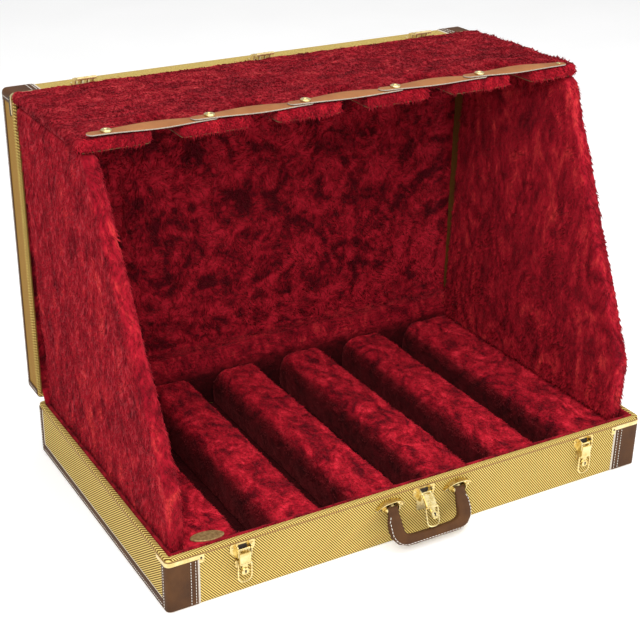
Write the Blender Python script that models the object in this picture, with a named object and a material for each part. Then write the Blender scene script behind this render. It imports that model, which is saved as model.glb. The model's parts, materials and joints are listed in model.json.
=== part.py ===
"""Stage case for five guitars: a tweed suitcase that opens into an upright display rack.

Metres, +Z up.  X runs along the case, "v" is the depth measured back from the front face
(world Y = v - MID) and Z is the height above the base's underside.
"""
import math

import bmesh
import bpy
from mathutils import Matrix, Vector

# Driving sizes of the closed case.
CASE_WIDTH = 0.800
CASE_DEPTH = 0.484
BASE_HEIGHT = 0.085
LID_DEPTH = 0.042
SEAM_GAP = 0.008

# Board, cloth and sheet thicknesses, and the gap left between touching pieces.
WALL = 0.007
FLOOR_BOARD = 0.006
LID_BOARD = 0.005
LINING = 0.004
PANEL = 0.020
TOP_BOARD = 0.016
PILE = 0.002
SHEET = 0.001
CLEAR = 0.0003

HALF = CASE_WIDTH / 2
RIM_HEIGHT = 0.005
EDGE_RADIUS = 0.006
INNER_RADIUS = 0.0006
LID_BOTTOM = BASE_HEIGHT + SEAM_GAP
LID_TOP = LID_BOTTOM + CASE_DEPTH
LID_BACK = CASE_DEPTH + LID_DEPTH
SKIN_OUT = CLEAR + SHEET

# Divider rack in the base.
SLOT_PITCH = 0.126
SLOT_WIDTH = 0.048
RIDGE_TOP = 0.069
RIDGE_ROUND = 0.012
LINED_EDGE = WALL + CLEAR + LINING + CLEAR

# Folding side panels, standing on the outer pads and leaning outward.
PANEL_HINGE_X = 0.3628
PANEL_HINGE_Z = 0.0722
PANEL_LEAN = math.radians(1.77)
PANEL_FRONT = 0.0251
PANEL_BEND = 0.0998
PANEL_TOP_FRONT = 0.2195
PANEL_BACK = 0.4722
PANEL_RISE = 0.4914

# Notched top panel and its straps.
TOP_UNDERSIDE = 0.565
TOP_FRONT = 0.224
TOP_BACK = CASE_DEPTH - 0.0015
TOP_HALF = 0.400
NOTCH_PITCH = 0.143
NOTCH_SHIFT = 0.008
NOTCH_DEPTH = 0.070
NOTCH_MOUTH = 0.042
NOTCH_END = 0.044
STRAP_LINE = 0.230
STRAP_PITCH = 0.1455
LAST_RIVET = 0.368
STRAP_THICK = 0.0022
STRAP_TILT = math.atan(0.0026 / STRAP_PITCH)
STRAP_LEVEL = TOP_UNDERSIDE + TOP_BOARD + PILE + 0.0005

# Hinge at the back, in the seam between base and lid.
BARREL = SEAM_GAP / 2 - 0.00025
HINGE_V = CASE_DEPTH + SEAM_GAP / 2 - 0.00025
HINGE_Z = BASE_HEIGHT + SEAM_GAP / 2 + 0.00025

# Front hardware.
LATCH_SPACING = 0.290
LATCH_V = -0.006
LATCH_Z = 0.070
BAIL_DROP = 0.0215
BAIL_LENGTH = 0.0285
BAIL_HALF = 0.0100
BAIL_BEND = 0.0080
WIRE = 0.0013
CENTRE_LEVER_OPEN = math.radians(42)
CENTRE_BAIL_LEAN = math.radians(17)
HANDLE_X = 0.057
HANDLE_V = -0.008
HANDLE_Z = 0.062
HANDLE_DROP = 0.050
GRIP = 0.0075
HANDLE_SWING = math.radians(25)

# The origin sits midway between the handle's front and the lid's back.  The grip's section is
# a rounded square, so tilted it reaches a little further than its half thickness.
GRIP_REACH = GRIP * 1.0732
FRONT_REACH = HANDLE_V - HANDLE_DROP * math.sin(HANDLE_SWING) - GRIP_REACH
MID = (FRONT_REACH + LID_BACK) / 2

MATERIALS = {
    "tweed": ((0.40, 0.27, 0.11), 0.85, 0.0),
    "plush": ((0.30, 0.012, 0.018), 0.95, 0.0),
    "leather": ((0.075, 0.038, 0.022), 0.55, 0.0),
    "brass": ((0.80, 0.62, 0.28), 0.25, 1.0),
    "strap": ((0.48, 0.24, 0.11), 0.55, 0.0),
}

for item in list(bpy.data.objects):
    bpy.data.objects.remove(item, do_unlink=True)
collection = bpy.data.collections.new("guitar_case")
bpy.context.scene.collection.children.link(collection)


def material_for(name, slot):
    """Principled material of the slot's colour, roughness and metallic value."""
    colour, roughness, metallic = MATERIALS[slot]
    material = bpy.data.materials.new(name)
    material.use_nodes = True
    shader = material.node_tree.nodes["Principled BSDF"]
    shader.inputs["Base Color"].default_value = (*colour, 1.0)
    shader.inputs["Roughness"].default_value = roughness
    shader.inputs["Metallic"].default_value = metallic
    return material


def at(x, v, z):
    """World point from the case's own width, depth and height coordinates."""
    return Vector((x, v - MID, z))


def along(axis, level, first, second):
    """Point at a level along one axis, with the other two coordinates in order."""
    order = {"x": (level, first, second), "v": (first, level, second), "z": (first, second, level)}
    return at(*order[axis])


def fillet(corners, radii, steps=4):
    """Round the corners of a closed 2D outline; a radius of zero keeps a corner sharp."""
    outline = []
    for index, corner in enumerate(corners):
        radius = radii[index] if isinstance(radii, (list, tuple)) else radii
        here = Vector(corner)
        before = (Vector(corners[index - 1]) - here).normalized()
        after = (Vector(corners[(index + 1) % len(corners)]) - here).normalized()
        half = before.angle(after) / 2
        if radius == 0 or half > math.radians(89):
            outline.append(tuple(here))
            continue
        centre = here + (before + after).normalized() * radius / math.sin(half)
        start = here + before * radius / math.tan(half) - centre
        turn = start.angle_signed(here + after * radius / math.tan(half) - centre)
        for step in range(steps + 1):
            angle = -turn * step / steps
            outline.append(tuple(centre + Matrix.Rotation(angle, 2) @ start))
    return outline


def skin(bm, rings, closed=False):
    """Join equal rings into one surface, capped at both ends unless it closes on itself."""
    loops = [[bm.verts.new(spot) for spot in ring] for ring in rings]
    followers = loops[1:] + loops[:1] if closed else loops[1:]
    for lower, upper in zip(loops, followers):
        for index in range(len(lower)):
            after = (index + 1) % len(lower)
            bm.faces.new((lower[index], lower[after], upper[after], upper[index]))
    if not closed:
        bm.faces.new(loops[0])
        bm.faces.new(loops[-1])
    bmesh.ops.recalc_face_normals(bm, faces=bm.faces)


def place(name, bm, slot, pivot=None):
    """Turn a bmesh in world coordinates into a named object whose origin is the pivot."""
    origin = pivot if pivot is not None else Vector((0, 0, 0))
    bmesh.ops.translate(bm, verts=bm.verts, vec=-origin)
    mesh = bpy.data.meshes.new(name)
    bm.to_mesh(mesh)
    bm.free()
    mesh.materials.append(material_for(name, slot))
    item = bpy.data.objects.new(name, mesh)
    item.location = origin
    collection.objects.link(item)
    return item


def loft(name, rings, slot, pivot=None, closed=False):
    """Object skinned over a list of rings."""
    bm = bmesh.new()
    skin(bm, rings, closed)
    return place(name, bm, slot, pivot)


def prism(name, outline, axis, low, high, slot, pivot=None, soft=0.0):
    """Outline extruded along an axis, its two end edges rounded by soft."""
    bm = bmesh.new()
    skin(bm, [[along(axis, level, *spot) for spot in outline] for level in (low, high)])
    if soft:
        caps = [face for face in bm.faces if len(face.verts) == len(outline)]
        rims = list({edge for face in caps for edge in face.edges})
        bmesh.ops.bevel(bm, geom=rims, offset=soft, segments=2, profile=0.5, affect="EDGES")
    return place(name, bm, slot, pivot)


def box(name, low, high, slot, pivot=None):
    """Plain block between two (x, v, z) corners."""
    outline = [(low[0], low[1]), (high[0], low[1]), (high[0], high[1]), (low[0], high[1])]
    return prism(name, outline, "z", low[2], high[2], slot, pivot)


def unite(target, *tools):
    """Merge overlapping solids into the target and remove the tools."""
    for tool in tools:
        joint = target.modifiers.new("union", "BOOLEAN")
        joint.operation = "UNION"
        joint.solver = "EXACT"
        joint.object = tool
    bpy.context.view_layer.update()
    depsgraph = bpy.context.evaluated_depsgraph_get()
    merged = bpy.data.meshes.new_from_object(target.evaluated_get(depsgraph))
    bm = bmesh.new()
    bm.from_mesh(merged)
    bmesh.ops.remove_doubles(bm, verts=bm.verts, dist=0.00002)
    bm.to_mesh(merged)
    bm.free()
    target.modifiers.clear()
    target.data = merged
    material = merged.materials[0]
    merged.materials.clear()
    merged.materials.append(material)
    for tool in tools:
        bpy.data.objects.remove(tool, do_unlink=True)
    return target


def rivet(axis, centre, radius, height, direction, slot="brass"):
    """Domed rivet head standing on a face; centre is its (x, v, z) foot."""
    level = {"x": 0, "v": 1, "z": 2}[axis]
    flat = [value for index, value in enumerate(centre) if index != level]
    rings = []
    for lift, scale in ((-0.0006, 1.0), (height * 0.5, 0.92), (height, 0.5)):
        ring = []
        for step in range(12):
            angle = math.tau * step / 12
            first = flat[0] + radius * scale * math.cos(angle)
            second = flat[1] + radius * scale * math.sin(angle)
            ring.append(along(axis, centre[level] + direction * lift, first, second))
        rings.append(ring)
    return loft("rivet", rings, slot)


def rounded_ring(axis, level, low, high, radius):
    """Rounded rectangle at a level along an axis."""
    corners = [(low[0], low[1]), (high[0], low[1]), (high[0], high[1]), (low[0], high[1])]
    return [along(axis, level, *spot) for spot in fillet(corners, radius)]


def tray(name, axis, soft, outer, rim, floor, inset, thickness, low, high, slot, pivot=None):
    """Open box: its mouth at rim, closed end at outer with soft edges, inner floor at floor."""
    def ring(level, shrink, radius):
        small = (low[0] + shrink, low[1] + shrink)
        large = (high[0] - shrink, high[1] - shrink)
        return rounded_ring(axis, level, small, large, radius)

    side = 1 if rim > outer else -1
    rings = [
        ring(outer, inset + soft, EDGE_RADIUS - soft * 0.5),
        ring(outer + side * soft * 0.3, inset + soft * 0.3, EDGE_RADIUS),
        ring(outer + side * soft, inset, EDGE_RADIUS),
        ring(rim, inset, EDGE_RADIUS),
        ring(rim, inset + thickness, INNER_RADIUS),
        ring(floor, inset + thickness, INNER_RADIUS),
    ]
    return loft(name, rings, slot, pivot)


def corner_wrap(axis, corner, reach_first, reach_second, out, radius):
    """L-shaped strip outline round an outside corner, at the given offset from the shell."""
    sign_first, sign_second = (math.copysign(1, value) for value in corner[2:])
    first, second = corner[:2]
    outer = [
        (first - sign_first * reach_first, second + sign_second * out),
        (first + sign_first * out, second + sign_second * out),
        (first + sign_first * out, second - sign_second * reach_second),
    ]
    inner = [
        (first + sign_first * CLEAR, second - sign_second * reach_second),
        (first + sign_first * CLEAR, second + sign_second * CLEAR),
        (first - sign_first * reach_first, second + sign_second * CLEAR),
    ]
    radii = [0, radius + out, 0, 0, radius + CLEAR, 0]
    return fillet(outer + inner, radii)


# ---------------------------------------------------------------- base
BASE_LOW = (-HALF, 0.0)
BASE_HIGH = (HALF, CASE_DEPTH)
tray("base_shell", "z", 0.002, 0.0, BASE_HEIGHT - RIM_HEIGHT - CLEAR, FLOOR_BOARD, 0.0, WALL,
     BASE_LOW, BASE_HIGH, "tweed")
tray("base_lining", "z", 0.001, FLOOR_BOARD + CLEAR, BASE_HEIGHT - 0.0015,
     FLOOR_BOARD + CLEAR + LINING + 0.001, WALL + CLEAR, LINING, BASE_LOW, BASE_HIGH, "plush")

rim_rings = []
for level, shrink in (
    (BASE_HEIGHT - RIM_HEIGHT, 0.0),
    (BASE_HEIGHT - 0.001, 0.0),
    (BASE_HEIGHT, 0.001),
    (BASE_HEIGHT, WALL - 0.001),
    (BASE_HEIGHT - 0.001, WALL),
    (BASE_HEIGHT - RIM_HEIGHT, WALL),
):
    lower = (BASE_LOW[0] + shrink, BASE_LOW[1] + shrink)
    upper = (BASE_HIGH[0] - shrink, BASE_HIGH[1] - shrink)
    rim_rings.append(rounded_ring("z", level, lower, upper, EDGE_RADIUS - shrink * 0.5))
loft("base_rim", rim_rings, "tweed", closed=True)

PAD_FLOOR = FLOOR_BOARD + CLEAR + LINING + 0.001 + CLEAR
RIDGE_FRONT = LINED_EDGE
RIDGE_BACK = CASE_DEPTH - LINED_EDGE
for number in range(4):
    centre = (number - 1.5) * SLOT_PITCH
    half = (SLOT_PITCH - SLOT_WIDTH) / 2
    corners = [(centre - half, PAD_FLOOR), (centre + half, PAD_FLOOR),
               (centre + half, RIDGE_TOP), (centre - half, RIDGE_TOP)]
    outline = fillet(corners, [0, 0, RIDGE_ROUND, RIDGE_ROUND], 5)
    prism(f"divider_{number + 1}", outline, "v", RIDGE_FRONT, RIDGE_BACK, "plush")

SLOT_EDGE = 2 * SLOT_PITCH + SLOT_WIDTH / 2
SIDES = (("left", -1), ("right", 1))
for side, sign in SIDES:
    corners = [(sign * SLOT_EDGE, PAD_FLOOR), (sign * (HALF - LINED_EDGE), PAD_FLOOR),
               (sign * (HALF - LINED_EDGE), RIDGE_TOP), (sign * SLOT_EDGE, RIDGE_TOP)]
    outline = fillet(corners, [0, 0, 0, RIDGE_ROUND], 5)
    prism(f"edge_pad_{side}", outline, "v", RIDGE_FRONT, RIDGE_BACK, "plush")

# Leather corners, bindings and brass corner clamps of the base.
CORNER_LONG = 0.044
CORNER_SHORT = 0.014
BINDING_HEIGHT = 0.014
CLAMP_LOW = BASE_HEIGHT - RIM_HEIGHT - 0.0075
CLAMP_HIGH = BASE_HEIGHT - RIM_HEIGHT - 0.001
for side, sign in SIDES:
    for face, depth, back in (("front", 0.0, -1), ("back", CASE_DEPTH, 1)):
        outline = corner_wrap("z", (sign * HALF, depth, sign, back), CORNER_LONG, CORNER_SHORT,
                              SKIN_OUT, EDGE_RADIUS)
        top = CLAMP_LOW - CLEAR if face == "front" else CLAMP_HIGH
        prism(f"base_corner_{face}_{side}", outline, "z", 0.0015, top, "leather")
    inner, outer = sorted((sign * (HALF + CLEAR), sign * (HALF + SKIN_OUT)))
    box(f"base_binding_{side}", (inner, CORNER_SHORT + CLEAR, 0.0015),
        (outer, CASE_DEPTH - CORNER_SHORT - CLEAR, BINDING_HEIGHT), "leather")
    outline = corner_wrap("z", (sign * HALF, 0.0, sign, -1), 0.050, 0.030, SKIN_OUT, EDGE_RADIUS)
    clamp = prism(f"base_clamp_{side}", outline, "z", CLAMP_LOW, CLAMP_HIGH, "brass")
    lug_end, lug_start = sign * (HALF - 0.054), sign * (HALF - 0.0465)
    lug = box("lug", (min(lug_end, lug_start), -SKIN_OUT, CLAMP_LOW - 0.0065),
              (max(lug_end, lug_start), -CLEAR, CLAMP_HIGH), "brass")
    head = rivet("v", (sign * (HALF - 0.0503), -SKIN_OUT, CLAMP_LOW - 0.0025), 0.0022, 0.0012, -1)
    unite(clamp, lug, head)

# Piano hinge: solid knuckles alternate between the base leaf and the lid leaf.
HINGE_HALF = 0.340
KNUCKLES = 12
KNUCKLE = 2 * HINGE_HALF / KNUCKLES


def knuckles(start):
    """Every second knuckle of the hinge barrel."""
    pieces = []
    for index in range(start, KNUCKLES, 2):
        low = -HINGE_HALF + index * KNUCKLE + CLEAR
        rings = []
        for level in (low, low + KNUCKLE - 2 * CLEAR):
            angles = [math.tau * step / 16 for step in range(16)]
            rings.append([along("x", level, HINGE_V + BARREL * math.cos(angle),
                                HINGE_Z + BARREL * math.sin(angle)) for angle in angles])
        pieces.append(loft("knuckle", rings, "brass"))
    return pieces


base_leaf = box("hinge_base_leaf", (-HINGE_HALF, CASE_DEPTH + CLEAR, 0.062),
                (HINGE_HALF, CASE_DEPTH + SKIN_OUT, BASE_HEIGHT - 0.0005), "brass")
straps_down = []
for index in range(0, KNUCKLES, 2):
    low = -HINGE_HALF + index * KNUCKLE + CLEAR
    straps_down.append(box("tail", (low, CASE_DEPTH + CLEAR, BASE_HEIGHT - 0.004),
                           (low + KNUCKLE - 2 * CLEAR, CASE_DEPTH + SKIN_OUT, HINGE_Z), "brass"))
unite(base_leaf, *straps_down, *knuckles(0))
HINGE_PIVOT = at(0, HINGE_V, HINGE_Z)
lid_leaf = box("hinge_lid_leaf", (-HINGE_HALF, CASE_DEPTH + SEAM_GAP + 0.0005, LID_BOTTOM - SKIN_OUT),
               (HINGE_HALF, LID_BACK - 0.010, LID_BOTTOM - CLEAR), "brass", HINGE_PIVOT)
tails = []
for index in range(1, KNUCKLES, 2):
    low = -HINGE_HALF + index * KNUCKLE + CLEAR
    tails.append(box("tail", (low, HINGE_V, LID_BOTTOM - SKIN_OUT),
                     (low + KNUCKLE - 2 * CLEAR, CASE_DEPTH + SEAM_GAP + 0.004,
                      LID_BOTTOM - CLEAR), "brass"))
unite(lid_leaf, *tails, *knuckles(1))

# Plush flap that covers the seam from inside.
FLAP_HALF = HALF - WALL - 0.001
flap = [(0.4738, BASE_HEIGHT - 0.001), (0.4829, 0.1020), (0.4837, 0.1020), (0.4750, BASE_HEIGHT - 0.001)]
prism("hinge_cloth", flap, "x", -FLAP_HALF, FLAP_HALF, "plush")

# Blank oval badge on the left pad.
badge_rings = []
for level, scale in ((RIDGE_TOP + CLEAR, 1.0), (RIDGE_TOP + 0.0016, 1.0), (RIDGE_TOP + 0.0024, 0.93)):
    ring = []
    for step in range(32):
        angle = math.tau * step / 32
        spot = Vector((0.024 * scale * math.cos(angle), 0.0112 * scale * math.sin(angle)))
        spot = Matrix.Rotation(math.radians(-9), 2) @ spot
        ring.append(at(-0.3198 + spot.x, 0.0446 + spot.y, level))
    badge_rings.append(ring)
loft("badge", badge_rings, "brass")

# ---------------------------------------------------------------- lid
LID_PIVOT = HINGE_PIVOT
lid_low = (-HALF, LID_BOTTOM)
lid_high = (HALF, LID_TOP)
tray("lid_shell", "v", 0.002, LID_BACK, CASE_DEPTH, LID_BACK - LID_BOARD, 0.0, WALL,
     lid_low, lid_high, "tweed", LID_PIVOT)

LINER_BACK = LID_BACK - LID_BOARD - CLEAR
LINER_EDGE = WALL + CLEAR
liner = [
    (CASE_DEPTH + 0.0015, LID_BOTTOM + LINER_EDGE),
    (LINER_BACK, LID_BOTTOM + LINER_EDGE),
    (LINER_BACK, LID_TOP - LINER_EDGE),
    (LINER_BACK - 0.005, LID_TOP - LINER_EDGE),
    (LINER_BACK - 0.005, LID_BOTTOM + LINER_EDGE + LINING),
    (CASE_DEPTH + 0.0015, LID_BOTTOM + LINER_EDGE + LINING),
]
prism("lid_lining", fillet(liner, [0, 0, 0, 0, 0.003, 0.0015]), "x", -(HALF - LINER_EDGE),
      HALF - LINER_EDGE, "plush", LID_PIVOT)

CLAMP_FRONT = CASE_DEPTH + 0.0005
CLAMP_BACK = CASE_DEPTH + 0.0070
for side, sign in SIDES:
    for face, level, up in (("top", LID_TOP, 1), ("bottom", LID_BOTTOM, -1)):
        front = CLAMP_BACK + CLEAR if face == "top" else CLAMP_FRONT
        outline = corner_wrap("v", (sign * HALF, level, sign, up), CORNER_LONG, CORNER_SHORT,
                              SKIN_OUT, EDGE_RADIUS)
        prism(f"lid_corner_{face}_{side}", outline, "v", front, LID_BACK - 0.0015, "leather",
              LID_PIVOT)
    outline = corner_wrap("v", (sign * HALF, LID_TOP, sign, 1), 0.050, 0.029, SKIN_OUT,
                          EDGE_RADIUS)
    prism(f"lid_clamp_{side}", outline, "v", CLAMP_FRONT, CLAMP_BACK, "brass", LID_PIVOT)
    inner, outer = sorted((sign * (HALF + CLEAR), sign * (HALF + SKIN_OUT)))
    box(f"lid_binding_{side}", (inner, LID_BACK - 0.0085, LID_BOTTOM + CORNER_SHORT + CLEAR),
        (outer, LID_BACK - 0.0015, LID_TOP - CORNER_SHORT - CLEAR), "leather", LID_PIVOT)

CATCH_NAMES = ("left", "centre", "right")
CATCH_HALF = 0.0150
TONGUE_HALF = 0.0105
for index, word in enumerate(CATCH_NAMES):
    x = (index - 1) * LATCH_SPACING
    outline = fillet([(x - CATCH_HALF, CASE_DEPTH + 0.001), (x + CATCH_HALF, CASE_DEPTH + 0.001),
                      (x + CATCH_HALF, CASE_DEPTH + 0.020), (x - CATCH_HALF, CASE_DEPTH + 0.020)],
                     [0, 0, 0.004, 0.004])
    catch = prism(f"catch_{word}", outline, "z", LID_TOP + CLEAR, LID_TOP + SKIN_OUT, "brass",
                  LID_PIVOT)
    lug = [(CASE_DEPTH + 0.004, LID_TOP + 0.0006), (CASE_DEPTH + 0.004, LID_TOP + 0.0090),
           (CASE_DEPTH - 0.0045, LID_TOP + 0.0105), (CASE_DEPTH - 0.0045, LID_TOP + 0.0085),
           (CASE_DEPTH + 0.0025, LID_TOP + 0.0072), (CASE_DEPTH + 0.0025, LID_TOP + 0.0006)]
    tongue = prism("tongue", lug, "x", x - TONGUE_HALF, x + TONGUE_HALF, "brass")
    heads = [rivet("z", (x + shift, CASE_DEPTH + 0.014, LID_TOP + SKIN_OUT), 0.0022, 0.0012, 1)
             for shift in (-TONGUE_HALF, TONGUE_HALF)]
    unite(catch, tongue, *heads)

# ---------------------------------------------------------------- notched top panel
notch_centres = [(number - 2) * NOTCH_PITCH + NOTCH_SHIFT for number in range(5)]
TOP_PIVOT = at(0, TOP_BACK, TOP_UNDERSIDE + TOP_BOARD)
corners = [(TOP_HALF, TOP_BACK), (-TOP_HALF, TOP_BACK), (-TOP_HALF, TOP_FRONT)]
radii = [0.004, 0.004, 0.008]
for centre in notch_centres:
    corners += [
        (centre - NOTCH_MOUTH / 2, TOP_FRONT),
        (centre - NOTCH_END / 2, TOP_FRONT + NOTCH_DEPTH),
        (centre + NOTCH_END / 2, TOP_FRONT + NOTCH_DEPTH),
        (centre + NOTCH_MOUTH / 2, TOP_FRONT),
    ]
    radii += [0.006, 0.012, 0.012, 0.006]
corners.append((TOP_HALF, TOP_FRONT))
radii.append(0.008)
prism("top_panel", fillet(corners, radii), "z", TOP_UNDERSIDE, TOP_UNDERSIDE + TOP_BOARD, "plush",
      TOP_PIVOT, soft=0.003)

# Straps: each right end is riveted to a tab, each left end snaps over the next strap's rivet.
STRAP_HALF_END = 0.008
STRAP_HALF_MID = 0.0115
STRAP_TIP = 0.027
STRAP_TAIL = 0.012


def strap_outline(rivet_x):
    """Plan of one strap: rounded tips, wider in the middle."""
    left = rivet_x - STRAP_PITCH - STRAP_TIP
    right = rivet_x + STRAP_TAIL
    span = right - left
    front, back = [], []
    for step in range(13):
        share = step / 12
        half = STRAP_HALF_END + (STRAP_HALF_MID - STRAP_HALF_END) * math.sin(math.pi * share) ** 2
        if step in (0, 12):
            half *= 0.55
        x = left + span * (share + 0.012 * math.sin(math.tau * share))
        front.append((x, STRAP_LINE - half))
        back.append((x, STRAP_LINE + half))
    return front + back[::-1]


for number in range(5):
    rivet_x = LAST_RIVET - (4 - number) * STRAP_PITCH
    pivot = at(rivet_x, STRAP_LINE, STRAP_LEVEL)
    strap = prism(f"strap_{number + 1}", strap_outline(rivet_x), "z", STRAP_LEVEL,
                  STRAP_LEVEL + STRAP_THICK, "strap", pivot)
    strap.rotation_euler = (0, STRAP_TILT, 0)
    rings = []
    for lift, radius in ((CLEAR, 0.0075), (0.0018, 0.0075), (0.0028, 0.0062), (0.0028, 0.0035),
                         (0.0021, 0.0028)):
        level = STRAP_LEVEL + STRAP_THICK + lift
        angles = [math.tau * step / 20 for step in range(20)]
        rings.append([at(rivet_x - STRAP_PITCH + radius * math.cos(angle),
                         STRAP_LINE + radius * math.sin(angle), level) for angle in angles])
    cap = loft(f"snap_cap_{number + 1}", rings, "brass", pivot)
    cap.rotation_euler = (0, STRAP_TILT, 0)
rings = []
for lift, radius in ((CLEAR, 0.0035), (0.0010, 0.0033), (0.0016, 0.0018)):
    level = STRAP_LEVEL + STRAP_THICK + lift
    angles = [math.tau * step / 14 for step in range(14)]
    rings.append([at(rivet_x + radius * math.cos(angle), STRAP_LINE + radius * math.sin(angle),
                     level) for angle in angles])
last = loft("end_rivet", rings, "brass", pivot)
last.rotation_euler = (0, STRAP_TILT, 0)

# ---------------------------------------------------------------- folding side panels
for side, sign in SIDES:
    outline = fillet([(PANEL_FRONT, PANEL_HINGE_Z), (PANEL_FRONT, PANEL_HINGE_Z + PANEL_BEND),
                      (PANEL_TOP_FRONT, PANEL_HINGE_Z + PANEL_RISE), (PANEL_BACK, PANEL_HINGE_Z + PANEL_RISE),
                      (PANEL_BACK, PANEL_HINGE_Z)], [0.002, 0.020, 0.006, 0.004, 0.002])
    low, high = sorted((sign * PANEL_HINGE_X, sign * (PANEL_HINGE_X + PANEL)))
    panel = prism(f"side_panel_{side}", outline, "x", low, high, "plush",
                  at(sign * PANEL_HINGE_X, 0.25, PANEL_HINGE_Z), soft=0.003)
    panel.rotation_euler = (0, sign * PANEL_LEAN, 0)

# ---------------------------------------------------------------- latches
LEVER_TOP = 0.0025
LEVER_FACE = 0.0035
LEVER_THICK = 0.003
LEVER_WIDE = 0.0088
LEVER_SLIM = 0.0070
LEVER_LENGTH = 0.041
CHEEK_GAP = 0.0004
CHEEK = 0.0012


def wire_loop(name, path, pivot, slot="brass"):
    """Round wire along a 3D path with flat ends, 8-sided."""
    rings = []
    for index, spot in enumerate(path):
        before = path[max(index - 1, 0)]
        after = path[min(index + 1, len(path) - 1)]
        tangent = (after - before).normalized()
        side = Vector((0, 1, 0))
        normal = tangent.cross(side).normalized()
        rings.append([spot + WIRE * (side * math.cos(math.tau * k / 8)
                                     + normal * math.sin(math.tau * k / 8)) for k in range(8)])
    return loft(name, rings, slot, pivot)


for index, word in enumerate(CATCH_NAMES):
    x = (index - 1) * LATCH_SPACING
    face = -SKIN_OUT
    outline = [(x - 0.0185, 0.0788), (x - 0.0185, 0.0670), (x - 0.0120, 0.0600), (x - 0.0105, 0.0400),
               (x + 0.0105, 0.0400), (x + 0.0120, 0.0600), (x + 0.0185, 0.0670), (x + 0.0185, 0.0788)]
    plate = prism(f"latch_plate_{word}", fillet(outline, [0.003, 0.004, 0.003, 0.003] * 2, 3), "v",
                  face, -CLEAR, "brass")
    additions = [rivet("v", (x + shift, face, 0.0727), 0.0026, 0.0014, -1)
                 for shift in (-0.0146, 0.0146)]
    for sign in (-1, 1):
        near = x + sign * (LEVER_WIDE + CHEEK_GAP)
        far = near + sign * CHEEK
        cheek = fillet([(face + 0.0005, 0.0575), (-0.0100, 0.0600), (-0.0100, 0.0755),
                        (face + 0.0005, 0.0780)], [0, 0.003, 0.003, 0])
        additions.append(prism("cheek", cheek, "x", min(near, far), max(near, far), "brass"))
        additions.append(rivet("x", (far, LATCH_V, LATCH_Z), 0.0018, 0.0008, sign))
    unite(plate, *additions)

    opened = CENTRE_LEVER_OPEN if word == "centre" else 0.0
    lean = CENTRE_BAIL_LEAN if word == "centre" else 0.0
    pivot = at(x, LATCH_V, LATCH_Z)
    tip = LATCH_Z - LEVER_LENGTH
    outline = [(x - LEVER_WIDE, LATCH_Z + LEVER_TOP), (x - LEVER_WIDE, 0.0580),
               (x - LEVER_SLIM, 0.0560), (x - LEVER_SLIM, tip), (x + LEVER_SLIM, tip),
               (x + LEVER_SLIM, 0.0560), (x + LEVER_WIDE, 0.0580), (x + LEVER_WIDE, LATCH_Z + LEVER_TOP)]
    front = LATCH_V - LEVER_FACE
    lever = prism(f"lever_{word}", fillet(outline, [0.0008, 0.001, 0.001, 0.006] * 2, 4), "v", front,
                  front + LEVER_THICK, "brass", pivot, soft=0.0005)
    barrel = []
    for level in (x - LEVER_WIDE, x + LEVER_WIDE):
        angles = [math.tau * step / 14 for step in range(14)]
        barrel.append([along("x", level, LATCH_V + 0.0026 * math.cos(angle),
                             LATCH_Z + 0.0026 * math.sin(angle)) for angle in angles])
    step_plate = prism("step", [(x - 0.0062, LATCH_Z - 0.001), (x - 0.0062, 0.0535),
                                (x + 0.0062, 0.0535), (x + 0.0062, LATCH_Z - 0.001)], "v",
                       front - 0.0010, front + 0.0008, "brass")
    boss_rings = []
    for lift, radius in ((-0.0008, 0.0056), (0.0008, 0.0056), (0.0016, 0.0048)):
        angles = [math.tau * step / 18 for step in range(18)]
        boss_rings.append([along("v", front - lift, x + radius * math.cos(angle),
                                 tip + 0.0080 + radius * 1.2 * math.sin(angle)) for angle in angles])
    unite(lever, loft("barrel", barrel, "brass"), step_plate, loft("boss", boss_rings, "brass"))
    lever.rotation_euler = (-opened, 0, 0)

    offset = Vector((0, front + LEVER_THICK / 2 - LATCH_V, -BAIL_DROP))
    turned = Matrix.Rotation(-opened, 3, "X") @ offset
    ring_pivot = pivot + turned
    path = [Vector((-LEVER_SLIM - 0.0003, 0, 0)), Vector((-BAIL_HALF + 0.0012, 0, 0)),
            Vector((-BAIL_HALF + 0.0003, 0, -0.0004)), Vector((-BAIL_HALF, 0, -0.0014))]
    for step in range(6):
        angle = math.pi / 2 * step / 5
        path.append(Vector((-BAIL_HALF + BAIL_BEND * (1 - math.cos(angle)), 0,
                            -BAIL_LENGTH + BAIL_BEND * (1 - math.sin(angle)))))
    path += [Vector((-spot.x, 0, spot.z)) for spot in reversed(path)]
    bail = wire_loop(f"bail_{word}", [ring_pivot + spot for spot in path], ring_pivot)
    bail.rotation_euler = (-lean, 0, 0)

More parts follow.
